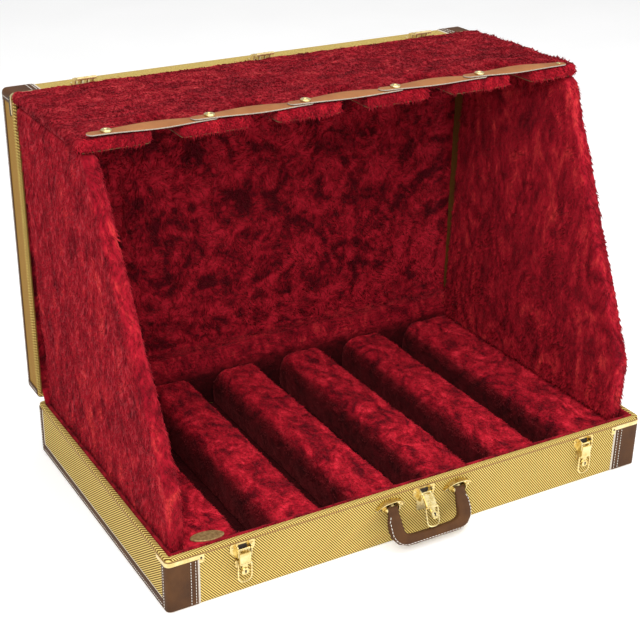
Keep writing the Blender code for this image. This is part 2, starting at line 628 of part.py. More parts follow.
# ---------------------------------------------------------------- handle
LEG_HALF = 0.0090
LUG_GAP = 0.0004
LUG = 0.0015
AWNING_LONG = 0.023
AWNING_TALL = 0.0145
AWNING_FOOT = 0.0600
for side, sign in SIDES:
    x = sign * HANDLE_X
    arc = [math.pi * (0.04 + 0.92 * step / 16) for step in range(17)]
    plate_outline = [(x + AWNING_LONG * math.cos(a), AWNING_FOOT + AWNING_TALL * math.sin(a))
                     for a in arc]
    plate_outline += [(x - AWNING_LONG, AWNING_FOOT - 0.002), (x + AWNING_LONG, AWNING_FOOT - 0.002)]
    plate = prism(f"handle_plate_{side}", plate_outline, "v", -SKIN_OUT, -CLEAR, "brass")
    rings = []
    for angle in arc:
        depth = 0.0035 + 0.0075 * math.sin(angle) ** 0.8
        ring = []
        for shrink, level in ((0.0, -0.0008), (0.0, -depth), (0.0012, -depth), (0.0012, -0.0008)):
            ring.append(at(x + (AWNING_LONG - shrink) * math.cos(angle), level,
                           AWNING_FOOT + (AWNING_TALL - shrink) * math.sin(angle)))
        rings.append(ring)
    awning = loft("awning", rings, "brass")
    additions = [awning]
    for hand in (-1, 1):
        near = x + hand * (LEG_HALF + LUG_GAP)
        far = near + hand * LUG
        lug = fillet([(-0.0008, 0.0575), (-0.0115, 0.0585), (-0.0115, 0.0655), (-0.0008, 0.0680)],
                     [0, 0.003, 0.003, 0])
        additions.append(prism("lug", lug, "x", min(near, far), max(near, far), "brass"))
        additions.append(rivet("x", (far, HANDLE_V, HANDLE_Z), 0.0020, 0.0010, hand))
        additions.append(rivet("v", (x + hand * 0.0182, -SKIN_OUT, AWNING_FOOT + 0.0012), 0.0022,
                               0.0012, -1))
    unite(plate, *additions)

# Centreline distance from the middle, drop below the pins, half width and half thickness.
STATIONS = (
    (0.0570, -0.0030, 0.0080, 0.0014),
    (0.0570, -0.0012, 0.0088, 0.0027),
    (0.0570, 0.0020, 0.0088, 0.0032),
    (0.0570, 0.0070, 0.0088, 0.0034),
    (0.0572, 0.0100, 0.0090, 0.0036),
    (0.0576, 0.0150, 0.0104, 0.0042),
    (0.0580, 0.0220, 0.0112, 0.0050),
    (0.0578, 0.0300, 0.0114, 0.0058),
    (0.0560, 0.0380, 0.0110, 0.0066),
    (0.0515, 0.0445, 0.0100, 0.0072),
    (0.0440, 0.0484, 0.0088, GRIP),
    (0.0340, 0.0498, 0.0078, GRIP),
    (0.0200, HANDLE_DROP, GRIP, GRIP),
    (0.0000, HANDLE_DROP, GRIP, GRIP),
)
half_path = [(-x, drop, wide, thick) for x, drop, wide, thick in STATIONS]
full_path = half_path + [(-x, drop, wide, thick) for x, drop, wide, thick in half_path[-2::-1]]
handle_pivot = at(0, HANDLE_V, HANDLE_Z)
rings = []
for index, (x, drop, wide, thick) in enumerate(full_path):
    before = full_path[max(index - 1, 0)]
    after = full_path[min(index + 1, len(full_path) - 1)]
    tangent = Vector((after[0] - before[0], 0, -(after[1] - before[1]))).normalized()
    across = tangent.cross(Vector((0, 1, 0)))
    centre = handle_pivot + Vector((x, 0, -drop))
    ring = []
    for step in range(16):
        angle = math.tau * step / 16
        swell = [math.copysign(abs(value) ** 0.7, value) for value in (math.cos(angle), math.sin(angle))]
        ring.append(centre + across * wide * swell[0] + Vector((0, thick * swell[1], 0)))
    rings.append(ring)
handle = loft("handle", rings, "leather", handle_pivot)
handle.rotation_euler = (-HANDLE_SWING, 0, 0)

SHARP_EDGE = math.radians(35)
for item in collection.objects:
    item.data.shade_smooth()
    item.data.set_sharp_from_angle(angle=SHARP_EDGE)
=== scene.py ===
"""Looks of the tweed stage case: striped tweed shells, long-pile crimson plush, leather and brass.

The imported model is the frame.  X runs along the case, "v" is the depth behind the front face and
Z is the height, all in metres.
"""
import json
import math

import bmesh
import bpy
import numpy as np
from mathutils import Matrix, Vector, noise
from mathutils.bvhtree import BVHTree


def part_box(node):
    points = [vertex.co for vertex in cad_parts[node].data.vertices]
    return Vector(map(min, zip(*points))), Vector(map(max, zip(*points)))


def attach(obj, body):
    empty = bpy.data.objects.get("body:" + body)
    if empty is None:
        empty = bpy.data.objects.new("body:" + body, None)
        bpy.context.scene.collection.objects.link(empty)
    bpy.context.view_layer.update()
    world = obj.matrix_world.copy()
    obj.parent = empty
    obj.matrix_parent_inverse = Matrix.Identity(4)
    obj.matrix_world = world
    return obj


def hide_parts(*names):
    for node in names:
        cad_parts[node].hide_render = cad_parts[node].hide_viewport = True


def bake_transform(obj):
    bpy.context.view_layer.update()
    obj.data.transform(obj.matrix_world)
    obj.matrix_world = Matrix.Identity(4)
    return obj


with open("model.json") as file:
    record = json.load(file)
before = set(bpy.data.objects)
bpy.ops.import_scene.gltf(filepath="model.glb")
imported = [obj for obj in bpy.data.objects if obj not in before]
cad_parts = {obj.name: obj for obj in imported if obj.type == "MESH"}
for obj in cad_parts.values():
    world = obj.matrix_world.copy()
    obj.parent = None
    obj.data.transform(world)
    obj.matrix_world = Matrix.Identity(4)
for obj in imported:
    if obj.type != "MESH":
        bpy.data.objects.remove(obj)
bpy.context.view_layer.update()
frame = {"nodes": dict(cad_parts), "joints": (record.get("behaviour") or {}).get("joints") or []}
nodes = frame["nodes"]

BASE_LOW, BASE_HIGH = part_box("base_shell")
RIM_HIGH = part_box("base_rim")[1]
LID_LOW, LID_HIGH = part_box("lid_shell")
FRONT = BASE_LOW[1]
HALF = BASE_HIGH[0]
DEPTH = BASE_HIGH[1] - FRONT
# The shells' walls, and how far the leather stands out from them.
WALL = 0.007
SHEET = 0.0013
HANDLE_SWING = math.radians(25)
WORDS = ("left", "centre", "right")
SIDES = (("left", -1), ("right", 1))

bpy.context.scene.view_settings.view_transform = "Standard"


def at(x, v, z):
    """Point from its place along the case, its depth behind the front face and its height."""
    return Vector((x, FRONT + v, z))


# ---------------------------------------------------------------- shader helpers
class Shader:
    """A Principled material and short calls for the nodes that feed it."""

    def __init__(self, name, **sockets):
        self.material = bpy.data.materials.new(name)
        self.material.use_nodes = True
        self.tree = self.material.node_tree
        self.surface = self.tree.nodes["Principled BSDF"]
        coordinates = self.tree.nodes.new("ShaderNodeTexCoord")
        self.spot = coordinates.outputs["Object"]
        self.normal = coordinates.outputs["Normal"]
        for socket, value in sockets.items():
            self.surface.inputs[socket.replace("_", " ")].default_value = value

    def feed(self, socket, value):
        if isinstance(value, bpy.types.NodeSocket):
            self.tree.links.new(value, socket)
        else:
            socket.default_value = value

    def math(self, operation, first, second=0.0, third=0.0):
        node = self.tree.nodes.new("ShaderNodeMath")
        node.operation = operation
        for socket, value in zip(node.inputs, (first, second, third)):
            self.feed(socket, value)
        return node.outputs[0]

    def split(self, vector):
        node = self.tree.nodes.new("ShaderNodeSeparateXYZ")
        self.feed(node.inputs[0], vector)
        return node.outputs

    def stretch(self, vector, scale, turn=(0, 0, 0)):
        node = self.tree.nodes.new("ShaderNodeMapping")
        self.feed(node.inputs["Vector"], vector)
        node.inputs["Scale"].default_value = scale
        node.inputs["Rotation"].default_value = turn
        return node.outputs[0]

    def noise(self, vector, scale, detail=3.0, rough=0.55, warp=0.0):
        node = self.tree.nodes.new("ShaderNodeTexNoise")
        self.feed(node.inputs["Vector"], vector)
        node.inputs["Scale"].default_value = scale
        node.inputs["Detail"].default_value = detail
        node.inputs["Roughness"].default_value = rough
        node.inputs["Distortion"].default_value = warp
        return node.outputs["Fac"]

    def cells(self, vector, scale):
        node = self.tree.nodes.new("ShaderNodeTexVoronoi")
        self.feed(node.inputs["Vector"], vector)
        node.inputs["Scale"].default_value = scale
        return node.outputs["Distance"]

    def ramp(self, factor, stops):
        node = self.tree.nodes.new("ShaderNodeValToRGB")
        self.feed(node.inputs[0], factor)
        elements = node.color_ramp.elements
        while len(elements) < len(stops):
            elements.new(0.5)
        for element, (place, colour) in zip(elements, stops):
            element.position = place
            element.color = (*colour, 1.0) if hasattr(colour, "__len__") else (colour,) * 3 + (1.0,)
        return node.outputs[0]

    def mix(self, factor, first, second, blend="MIX"):
        node = self.tree.nodes.new("ShaderNodeMix")
        node.data_type = "RGBA"
        node.blend_type = blend
        self.feed(node.inputs[0], factor)
        for socket, value in ((node.inputs[6], first), (node.inputs[7], second)):
            self.feed(socket, (*value, 1.0) if isinstance(value, tuple) else value)
        return node.outputs[2]

    def bump(self, height, distance, strength):
        node = self.tree.nodes.new("ShaderNodeBump")
        node.inputs["Strength"].default_value = strength
        node.inputs["Distance"].default_value = distance
        self.feed(node.inputs["Height"], height)
        return node.outputs[0]

    def finish(self, colour=None, roughness=None, bump=None):
        for socket, value in (("Base Color", colour), ("Roughness", roughness), ("Normal", bump)):
            if value is not None:
                self.feed(self.surface.inputs[socket], value)
        return self.material


def srgb(red, green, blue):
    """Linear colour from 0-255 display values."""
    def linear(value):
        share = value / 255
        return share / 12.92 if share <= 0.04045 else ((share + 0.055) / 1.055) ** 2.4
    return (linear(red), linear(green), linear(blue))


# Period of the stripes, and their directions on the fronts, the ends and the rim's tape.
STRIPE = 0.00295
ROPE_STRIPE = 0.0046
FRONT_SLOPE = math.radians(39.3)
SIDE_SLOPE = math.radians(37.4)
FRONT_WAY = (math.cos(FRONT_SLOPE), math.sin(FRONT_SLOPE))
SIDE_WAY = (math.sin(SIDE_SLOPE), math.cos(SIDE_SLOPE))
TAPE_LONG_WAY = (0.80, 0.60)
TAPE_SHORT_WAY = (0.30, 0.53)
# How squarely a face must look along an axis to take that side's stripes.
FACING = 0.7


def tweed(name, rope=False, lined=False, tape=False):
    """Diagonal tweed: pale and brown stripes of small twisted threads, wrapped round the edges."""
    shader = Shader(name, Roughness=0.85, Specular_IOR_Level=0.12)
    x, y, z = shader.split(shader.spot)
    nx, _, nz = (shader.math("ABSOLUTE", part) for part in shader.split(shader.normal))

    def slanted(first, second, way):
        return shader.math("MULTIPLY_ADD", first, way[0], shader.math("MULTIPLY", second, way[1]))

    if rope:
        slant = shader.math("ADD", shader.math("ADD", x, y), z)
    elif tape:
        on_end = shader.math("GREATER_THAN", shader.math("ABSOLUTE", x), HALF - WALL - 0.001)
        on_long = slanted(x, shader.math("ADD", z, y), TAPE_LONG_WAY)
        on_short = slanted(shader.math("ADD", x, z), y, TAPE_SHORT_WAY)
        slant = shader.math("MULTIPLY_ADD", on_end, shader.math("SUBTRACT", on_short, on_long), on_long)
    else:
        on_side = shader.math("GREATER_THAN", nx, FACING)
        on_top = shader.math("GREATER_THAN", nz, FACING)
        on_front = slanted(x, z, FRONT_WAY)
        slant = shader.math("MULTIPLY_ADD", on_side,
                            shader.math("SUBTRACT", slanted(y, z, SIDE_WAY), on_front), on_front)
        slant = shader.math("MULTIPLY_ADD", on_top,
                            shader.math("SUBTRACT", slanted(x, y, FRONT_WAY), slant), slant)
    wobble = shader.noise(shader.spot, 60, 2)
    period = ROPE_STRIPE if rope else STRIPE
    phase = shader.math("MULTIPLY_ADD", slant, math.tau / period, shader.math("MULTIPLY", wobble, 0.7))
    wave = shader.math("MULTIPLY_ADD", shader.math("SINE", phase), 0.5, 0.5)
    threads = shader.noise(shader.spot, 1400, 2, 0.6)
    level = shader.math("ADD", wave, shader.math("MULTIPLY", shader.math("SUBTRACT", threads, 0.5), 0.30))
    colour = shader.ramp(level, [
        (0.16, srgb(92, 60, 18)), (0.44, srgb(150, 114, 50)),
        (0.62, srgb(206, 178, 96)), (0.92, srgb(234, 211, 126))])
    patches = shader.ramp(shader.noise(shader.spot, 9, 3), [(0.3, 0.90), (0.7, 1.0)])
    colour = shader.mix(1.0, colour, patches, "MULTIPLY")
    if lined:
        middle = (LID_LOW[2] + LID_HIGH[2]) / 2
        off_middle = shader.math("ABSOLUTE", shader.math("SUBTRACT", z, middle))
        inner_x = shader.math("LESS_THAN", shader.math("ABSOLUTE", x), HALF - 0.005)
        inner_z = shader.math("LESS_THAN", off_middle, (LID_HIGH[2] - LID_LOW[2]) / 2 - 0.005)
        before = shader.math("LESS_THAN", y, LID_HIGH[1] - 0.002)
        inside = shader.math("MULTIPLY", shader.math("MULTIPLY", inner_x, inner_z), before)
        grain = shader.noise(shader.spot, 900, 3)
        # Inside the lid the cloth is plain and unstriped, and it is painted in the darker tan it shows in
        # shade: painted shade.
        plain_in_shade = shader.ramp(grain, [(0.3, srgb(86, 56, 20)), (0.7, srgb(124, 86, 38))])
        faced = shader.ramp(grain, [(0.3, srgb(126, 86, 36)), (0.7, srgb(170, 128, 60))])
        on_ends = shader.math("MULTIPLY", shader.math("GREATER_THAN", nx, FACING), 0.85)
        colour = shader.mix(on_ends, colour, faced)
        colour = shader.mix(inside, colour, plain_in_shade)
    height = shader.math("ADD", shader.math("MULTIPLY", wave, 0.6), shader.math("MULTIPLY", threads, 0.5))
    return shader.finish(colour, None, shader.bump(height, 0.0004, 0.5))


def plush(name, lit_tone, nap, contrast, crush_scale, sheen_colour, shade_heights=None):
    """Long-pile plush: crushed patches, tufts and fine fibres lying mostly one way.

    nap stretches the patches along the three directions, the colour after crush_scale is a painted sheen:
    the lighter colour of the stroked patches, and the last argument is a pair of heights between which
    painted shade darkens the pile towards the bottom.
    """
    shader = Shader(name, Roughness=0.85, Specular_IOR_Level=0.08, Sheen_Weight=0.22,
                    Sheen_Roughness=0.5, Sheen_Tint=(0.95, 0.13, 0.14, 1.0))
    flow = shader.stretch(shader.spot, nap)
    crush = shader.noise(flow, crush_scale, 3, 0.55, 2.4)
    tufts = shader.noise(flow, 85, 3, 0.6, 0.9)
    fibre = shader.noise(flow, 620, 2, 0.7)
    level = shader.math("ADD", shader.math("MULTIPLY", crush, 0.62), shader.math("MULTIPLY", tufts, 0.38))
    level = shader.math("MULTIPLY_ADD", shader.math("SUBTRACT", level, 0.5), contrast, 0.5)
    level = shader.math("ADD", level, shader.math("MULTIPLY", shader.math("SUBTRACT", fibre, 0.5), 0.12))

    def shade(red, green, blue):
        return tuple(min(0.9, part * lit_tone) for part in srgb(red, green, blue))

    # The top stop is painted sheen: the stroked patches lighter than the rest of the pile.
    colour = shader.ramp(level, [
        (0.34, shade(74, 2, 14)), (0.45, shade(120, 8, 24)),
        (0.55, shade(150, 18, 34)), (0.68, shade(*sheen_colour))])
    # Painted shade: the pile darkens towards the bottom between the two heights.
    if shade_heights:
        z = shader.split(shader.spot)[2]
        share = shader.math("DIVIDE", shader.math("SUBTRACT", z, shade_heights[0]), shade_heights[1] - shade_heights[0])
        light = shader.ramp(shader.math("MINIMUM", shader.math("MAXIMUM", share, 0.0), 1.0),
                            [(0.0, 0.10), (0.55, 0.26), (0.85, 0.80), (1.0, 1.0)])
        colour = shader.mix(1.0, colour, light, "MULTIPLY")
    height = shader.math("ADD", shader.math("MULTIPLY", tufts, 0.7), shader.math("MULTIPLY", fibre, 0.35))
    return shader.finish(colour, None, shader.bump(height, 0.0030, 0.7))


def leather(name, dark, light, grain, roughness):
    """Grained leather with slight colour drift and a soft polish."""
    shader = Shader(name, Specular_IOR_Level=0.22)
    pebbles = shader.cells(shader.spot, grain)
    drift = shader.noise(shader.spot, 28, 4)
    colour = shader.ramp(drift, [(0.3, dark), (0.72, light)])
    pores = shader.ramp(pebbles, [(0.0, 0.72), (0.35, 1.0)])
    colour = shader.mix(0.6, colour, shader.mix(1.0, colour, pores, "MULTIPLY"))
    gloss = shader.math("MULTIPLY_ADD", drift, 0.25, roughness - 0.12)
    height = shader.math("ADD", pebbles, shader.math("MULTIPLY", shader.noise(shader.spot, 70, 3), 0.6))
    return shader.finish(colour, gloss, shader.bump(height, 0.0004, 0.5))


def brass(name, metal=1.0, dullness=0.16):
    """Polished plating with fine scratches and cloudy, slightly warmer patches."""
    shader = Shader(name, Metallic=metal)
    clouds = shader.noise(shader.spot, 120, 3)
    scratches = shader.noise(shader.stretch(shader.spot, (1.0, 1.0, 14.0), (0.4, 0.3, 0.2)), 260, 2)
    colour = shader.ramp(clouds, [
        (0.25, srgb(208, 180, 108)), (0.6, srgb(234, 216, 158)), (0.9, srgb(243, 232, 192))])
    gloss = shader.math("MULTIPLY_ADD", clouds, 0.24, dullness)
    return shader.finish(colour, gloss, shader.bump(scratches, 0.00015, 0.35))


def cloth_trim(name, dark, light, scale=900):
    """Plain thread, piping or cut board, with a fine fibre texture."""
    shader = Shader(name, Roughness=0.75, Sheen_Weight=0.1)
    fibre = shader.noise(shader.spot, scale, 3)
    colour = shader.ramp(fibre, [(0.3, dark), (0.7, light)])
    return shader.finish(colour, None, shader.bump(fibre, 0.0002, 0.6))


def antique(name):
    """Dull antique gilt with a cloudy lacquer."""
    shader = Shader(name, Metallic=0.55, Coat_Weight=0.1)
    clouds = shader.noise(shader.spot, 240, 4)
    colour = shader.ramp(clouds, [(0.3, srgb(128, 98, 58)), (0.7, srgb(186, 156, 104))])
    gloss = shader.math("MULTIPLY_ADD", clouds, 0.3, 0.35)
    return shader.finish(colour, gloss, shader.bump(clouds, 0.0002, 0.4))


TWEED = tweed("tweed")
TWEED_LID = tweed("tweed_lid", lined=True)
TAPE = tweed("tweed_tape", tape=True)
ROPE = tweed("tweed_rope", rope=True)
# These six copies are one crimson pile. Their different tones paint light and shade: lightest on the
# dividers' tops and the top panel's rolled front, darkest in the base lining. The pairs of heights on the
# base and lining copies paint shade into the slots.
PLUSH_TOP = plush("plush_top", 0.95, (0.6, 1.0, 1.0), 0.85, 20, (184, 58, 60))
PLUSH_SIDE = plush("plush_side", 1.20, (1.0, 1.0, 0.45), 0.90, 22, (188, 50, 50))
PLUSH_BACK = plush("plush_back", 1.10, (0.8, 1.0, 0.8), 1.7, 14, (172, 26, 44))
PLUSH_BASE = plush("plush_base", 1.60, (1.0, 0.7, 1.0), 1.3, 20, (182, 34, 50), (0.046, 0.068))
PLUSH_ROLL = plush("plush_roll", 1.55, (1.0, 1.0, 0.6), 0.8, 24, (190, 38, 48))
PLUSH_LINING = plush("plush_lining", 0.85, (1.0, 1.0, 1.0), 1.1, 26, (178, 34, 48), (0.040, 0.084))
BROWN = leather("brown_leather", srgb(66, 38, 16), srgb(92, 58, 28), 900, 0.64)
TAN = leather("tan_leather", srgb(138, 84, 44), srgb(160, 106, 62), 700, 0.6)
CREAM = cloth_trim("cream_edge", srgb(176, 164, 146), srgb(216, 206, 192))
STRAP_EDGE = cloth_trim("strap_edge", srgb(130, 116, 100), srgb(186, 174, 160))
THREAD = cloth_trim("thread", srgb(206, 198, 186), srgb(246, 242, 234), 1500)
BOARD = cloth_trim("board_edge", srgb(96, 62, 26), srgb(146, 104, 54), 500)
WELT = cloth_trim("tan_welt", srgb(124, 88, 40), srgb(178, 138, 72), 600)
BRASS = brass("brass_plate")
CATCH_BRASS = brass("brass_catch", 0.65, 0.24)
GILT = antique("antique_gilt")
# Painted shade: near-black for the keyholes, the punched holes, the latch hollows and the gaps beside the
# lid clamps.
PAINTED_SHADE = cloth_trim("keyhole_shadow", srgb(24, 16, 10), srgb(52, 36, 20), 700)


# ---------------------------------------------------------------- mesh helpers
RIGHT = Vector((1, 0, 0))
REAR = Vector((0, 1, 0))
UP = Vector((0, 0, 1))


def add(name, mesh, material, body, replaced=()):
    """Link a finished mesh, colour it and tie it to its body, if it has just one."""
    piece = bpy.data.objects.new(name, mesh)
    bpy.context.scene.collection.objects.link(piece)
    for entry in material if isinstance(material, tuple) else (material,):
        mesh.materials.append(entry)
    if body:
        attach(piece, body)
    if replaced:
        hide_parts(*replaced)
    return piece


def from_bmesh(name, bm, smooth=True):
    """Mesh from a bmesh, outward normals, smooth shaded."""
    bmesh.ops.recalc_face_normals(bm, faces=bm.faces)
    mesh = bpy.data.meshes.new(name)
    bm.to_mesh(mesh)
    bm.free()
    if smooth:
        mesh.shade_smooth()
    return mesh


def skin(bm, rings, closed=False):
    """Join equal rings of points, capped unless the rings close on themselves."""
    loops = [[bm.verts.new(spot) for spot in ring] for ring in rings]
    followers = loops[1:] + loops[:1] if closed else loops[1:]
    for lower, upper in zip(loops, followers):
        for index in range(len(lower)):
            after = (index + 1) % len(lower)
            bm.faces.new((lower[index], lower[after], upper[after], upper[index]))
    if not closed:
        bm.faces.new(loops[0])
        bm.faces.new(loops[-1])


def circle(centre, side, other, radius, count):
    """Ring of points round a centre, in the plane of two directions."""
    angles = [math.tau * k / count for k in range(count)]
    return [centre + radius * (side * math.cos(angle) + other * math.sin(angle)) for angle in angles]


def tube(bm, path, radius, sides, closed=False):
    """Round cord along a path."""
    rings = []
    count = len(path)
    for index, spot in enumerate(path):
        before = path[(index - 1) % count if closed else max(index - 1, 0)]
        after = path[(index + 1) % count if closed else min(index + 1, count - 1)]
        tangent = (after - before).normalized()
        side = tangent.cross(Vector((0.31, 0.22, 0.92))).normalized()
        rings.append(circle(spot, side, tangent.cross(side), radius, sides))
    skin(bm, rings, closed)


def along_path(path, pitch):
    """Points and directions every pitch along a polyline."""
    spots = []
    carry = pitch / 2
    for start, end in zip(path, path[1:]):
        length = (end - start).length
        if length < 1e-9:
            continue
        direction = (end - start) / length
        place = carry
        while place < length:
            spots.append((start + direction * place, direction))
            place += pitch
        carry = place - length
    return spots


def stitch_row(bm, path, out, pitch=0.0046, length=0.0033, radius=0.00045):
    """Raised thread stitches along a path, each a small capsule sunk at its ends."""
    for spot, direction in along_path(path, pitch):
        side = direction.cross(out).normalized()
        rings = []
        for share, lift, size in ((-0.5, -0.0003, 0.35), (-0.3, 0.0002, 0.95), (0.0, 0.00035, 1.05),
                                  (0.3, 0.0002, 0.95), (0.5, -0.0003, 0.35)):
            centre = spot + direction * length * share + out * lift
            rings.append(circle(centre, side, out, radius * size, 6))
        skin(bm, rings)


def remeshed(node, voxel):
    """A CAD node's solid as an even mesh, ready to be raised into pile."""
    piece = bpy.data.objects.new("work", nodes[node].data.copy())
    bpy.context.scene.collection.objects.link(piece)
    modifier = piece.modifiers.new("even", "REMESH")
    modifier.mode = "VOXEL"
    modifier.voxel_size = voxel
    depsgraph = bpy.context.evaluated_depsgraph_get()
    mesh = bpy.data.meshes.new_from_object(piece.evaluated_get(depsgraph))
    bpy.data.objects.remove(piece, do_unlink=True)
    mesh.materials.clear()
    mesh.shade_smooth()
    return mesh


def pile(mesh, rise, rough, stretch=(1, 1, 1), mask=None, pitch=0.011):
    """Raise a surface along its normals into uneven tufts."""
    normals = [vertex.normal.copy() for vertex in mesh.vertices]
    scale = Vector(stretch)
    for vertex, normal in zip(mesh.vertices, normals):
        spot = vertex.co * scale / pitch
        tuft = noise.noise(spot) + 0.55 * noise.noise(spot * 2.3)
        fold = noise.noise(spot * 0.28)
        share = mask(vertex.co, normal) if mask else 1.0
        vertex.co += normal * (rise + rough * (tuft * 0.8 + fold * 0.7)) * share
    return mesh


def fur(mesh, count, nap, length, width, lift, swirl, bare, seed=1):
    """Root slender tufts all over a mesh, combed along the nap and swirled where it was stroked.

    lift is how far the tufts stand up, and bare(x, y, z, nx, ny, nz) is true where none grow.
    """
    draw = np.random.default_rng(seed)
    faces = len(mesh.polygons)
    centre = np.empty(faces * 3)
    normal = np.empty(faces * 3)
    area = np.empty(faces)
    mesh.polygons.foreach_get("center", centre)
    mesh.polygons.foreach_get("normal", normal)
    mesh.polygons.foreach_get("area", area)
    centre, normal = centre.reshape(-1, 3), normal.reshape(-1, 3)
    area = area * np.array([0.0 if bare(*spot, *out) else 1.0 for spot, out in zip(centre, normal)])
    pick = draw.choice(faces, size=count, p=area / area.sum())
    out = normal[pick]
    root = centre[pick] + draw.normal(0, 0.0013, (count, 3))
    root -= out * (((root - centre[pick]) * out).sum(1, keepdims=True) + 0.0006)
    turn = np.array([noise.noise(Vector(spot) * 26) + 0.6 * noise.noise(Vector(spot) * 70) for spot in root])
    turn = turn * swirl * 2.6 + draw.normal(0, 0.22, count)
    lay = np.array(nap, float) - out * (out @ np.array(nap, float))[:, None]
    size = np.linalg.norm(lay, axis=1, keepdims=True)
    spare = np.cross(out, [0.3, 0.9, 0.1])
    spare /= np.linalg.norm(spare, axis=1, keepdims=True)
    lay = np.where(size > 0.15, lay / np.maximum(size, 1e-6), spare)
    across = np.cross(out, lay)
    comb = lay * np.cos(turn)[:, None] + across * np.sin(turn)[:, None]
    way = comb + out * (lift + draw.uniform(-0.12, 0.25, (count, 1)))
    way /= np.linalg.norm(way, axis=1, keepdims=True)
    side = np.cross(way, out)
    side /= np.maximum(np.linalg.norm(side, axis=1, keepdims=True), 1e-6)
    up = np.cross(side, way)
    long = length * draw.uniform(0.6, 1.15, (count, 1))
    wide = width * draw.uniform(0.7, 1.3, (count, 1))
    corners = (root - side * wide, root + side * wide, root + up * wide * 1.1, root + way * long)
    tuft = np.stack(corners, axis=1)
    first = len(mesh.vertices)
    spots = np.empty(first * 3)
    mesh.vertices.foreach_get("co", spots)
    spots = np.vstack([spots.reshape(-1, 3), tuft.reshape(-1, 3)])
    polygons = [tuple(face.vertices) for face in mesh.polygons]
    for start in range(first, first + 4 * count, 4):
        a, b, c, d = start, start + 1, start + 2, start + 3
        polygons += [(a, b, c), (b, a, d), (c, b, d), (a, c, d)]
    full = bpy.data.meshes.new(mesh.name)
    full.from_pydata(spots.tolist(), [], polygons)
    full.shade_smooth()
    return full


# ---------------------------------------------------------------- carried-over CAD pieces
def paint(material, *names):
    """Give whole CAD pieces one material."""
    for name in names:
        nodes[name].data.materials.clear()
        nodes[name].data.materials.append(material)


paint(TWEED, "base_shell")
paint(TAPE, "base_rim")
paint(TWEED_LID, "lid_shell")
paint(BROWN, *(f"base_corner_{face}_{side}" for face in ("front", "back") for side, _ in SIDES))
paint(BROWN, *(f"lid_corner_{face}_{side}" for face in ("top", "bottom") for side, _ in SIDES))
paint(BROWN, *(f"{part}_binding_{side}" for part in ("base", "lid") for side, _ in SIDES))
paint(BRASS, *(f"{part}_clamp_{side}" for part in ("base", "lid") for side, _ in SIDES))
paint(BRASS, *(f"{part}_{word}" for part in ("latch_plate", "lever", "bail", "catch") for word in WORDS))
paint(BRASS, *(f"handle_plate_{side}" for side, _ in SIDES))
paint(BRASS, "hinge_base_leaf", "hinge_lid_leaf", "end_rivet")
paint(GILT, "badge")
paint(BRASS, *(f"snap_cap_{number}" for number in range(1, 6)))
paint(BROWN, "handle")


# ---------------------------------------------------------------- plush pieces
PAD_VOXEL = 0.0045
TOP_VOXEL = 0.004
SHEET_PITCH = 0.0045


def settled(low_z, high_z, share, depth=0.004):
    """Mask that keeps the pile short at a panel's lower and upper ends."""
    def mask(spot, normal):
        at_foot = spot.z < low_z + depth and normal.z < 0.3
        at_head = spot.z > high_z - depth and normal.z > -0.3
        return share if at_foot or at_head else 1.0
    return mask


for side, _ in SIDES:
    low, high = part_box(f"side_panel_{side}")
    mesh = pile(remeshed(f"side_panel_{side}", PAD_VOXEL), 0.0010, 0.0013, (1, 1, 0.6),
                settled(low[2], high[2], 0.12))
    mesh = fur(mesh, 26000, (0, -0.25, -1.0), length=0.0095, width=0.0011, lift=0.30, swirl=0.45,
               bare=lambda x, y, z, nx, ny, nz: z < low[2] + 0.004 or nz < -0.5 or nz > 0.6)
    piece = add(f"side_plush_{side}", mesh, PLUSH_SIDE, f"side_panel_{side}",
                (f"side_panel_{side}",))

low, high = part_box("top_panel")
mesh = pile(remeshed("top_panel", TOP_VOXEL), 0.0010, 0.0013, (0.6, 1, 1),
            lambda spot, normal: 0.1 if normal.z < -0.4 or spot.y > high[1] - 0.004 else 1.0)
mesh = fur(mesh, 26000, (-0.6, -0.8, -0.35), length=0.0080, width=0.0011, lift=0.26, swirl=0.5,
           bare=lambda x, y, z, nx, ny, nz: nz < -0.3 or (y > high[1] - 0.006 and ny > 0.3))
mesh = fur(mesh, 7000, (0, -0.25, -1.0), length=0.0085, width=0.0012, lift=0.50, swirl=0.35,
           bare=lambda x, y, z, nx, ny, nz: ny > -0.5 or y > high[1] - 0.1, seed=4)
# The rolled front edge takes the brighter copy of the plush: painted light.
for face in mesh.polygons:
    if face.center.y < low[1] + 0.004:
        face.material_index = 1
piece = add("top_plush", mesh, (PLUSH_TOP, PLUSH_ROLL), "top_panel", ("top_panel",))

BADGE_LOW, BADGE_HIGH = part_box("badge")


def near_badge(x, y):
    """1 on the badge's edge, less inside it."""
    across = (x - (BADGE_LOW[0] + BADGE_HIGH[0]) / 2) / (BADGE_HIGH[0] - BADGE_LOW[0]) * 2
    along = (y - (BADGE_LOW[1] + BADGE_HIGH[1]) / 2) / (BADGE_HIGH[1] - BADGE_LOW[1]) * 2
    return math.hypot(across, along)


def on_pad(spot, normal):
    """Short pile underneath, at the ends and below the badge."""
    hidden = normal.z < -0.4 or abs(normal.y) > 0.7 or near_badge(spot.x, spot.y) < 1.2
    return 0.1 if hidden else 1.0


def brushed_shoulder(mesh, low, high, reach=0.024, drop=0.020):
    """Round off the shoulder on the left, where the pile is stroked down into the slot."""
    for vertex in mesh.vertices:
        share = max(0.0, 1 - (vertex.co.x - low[0]) / reach)
        vertex.co.z -= drop * share ** 2 * (vertex.co.z - low[2]) / (high[2] - low[2])
    return mesh


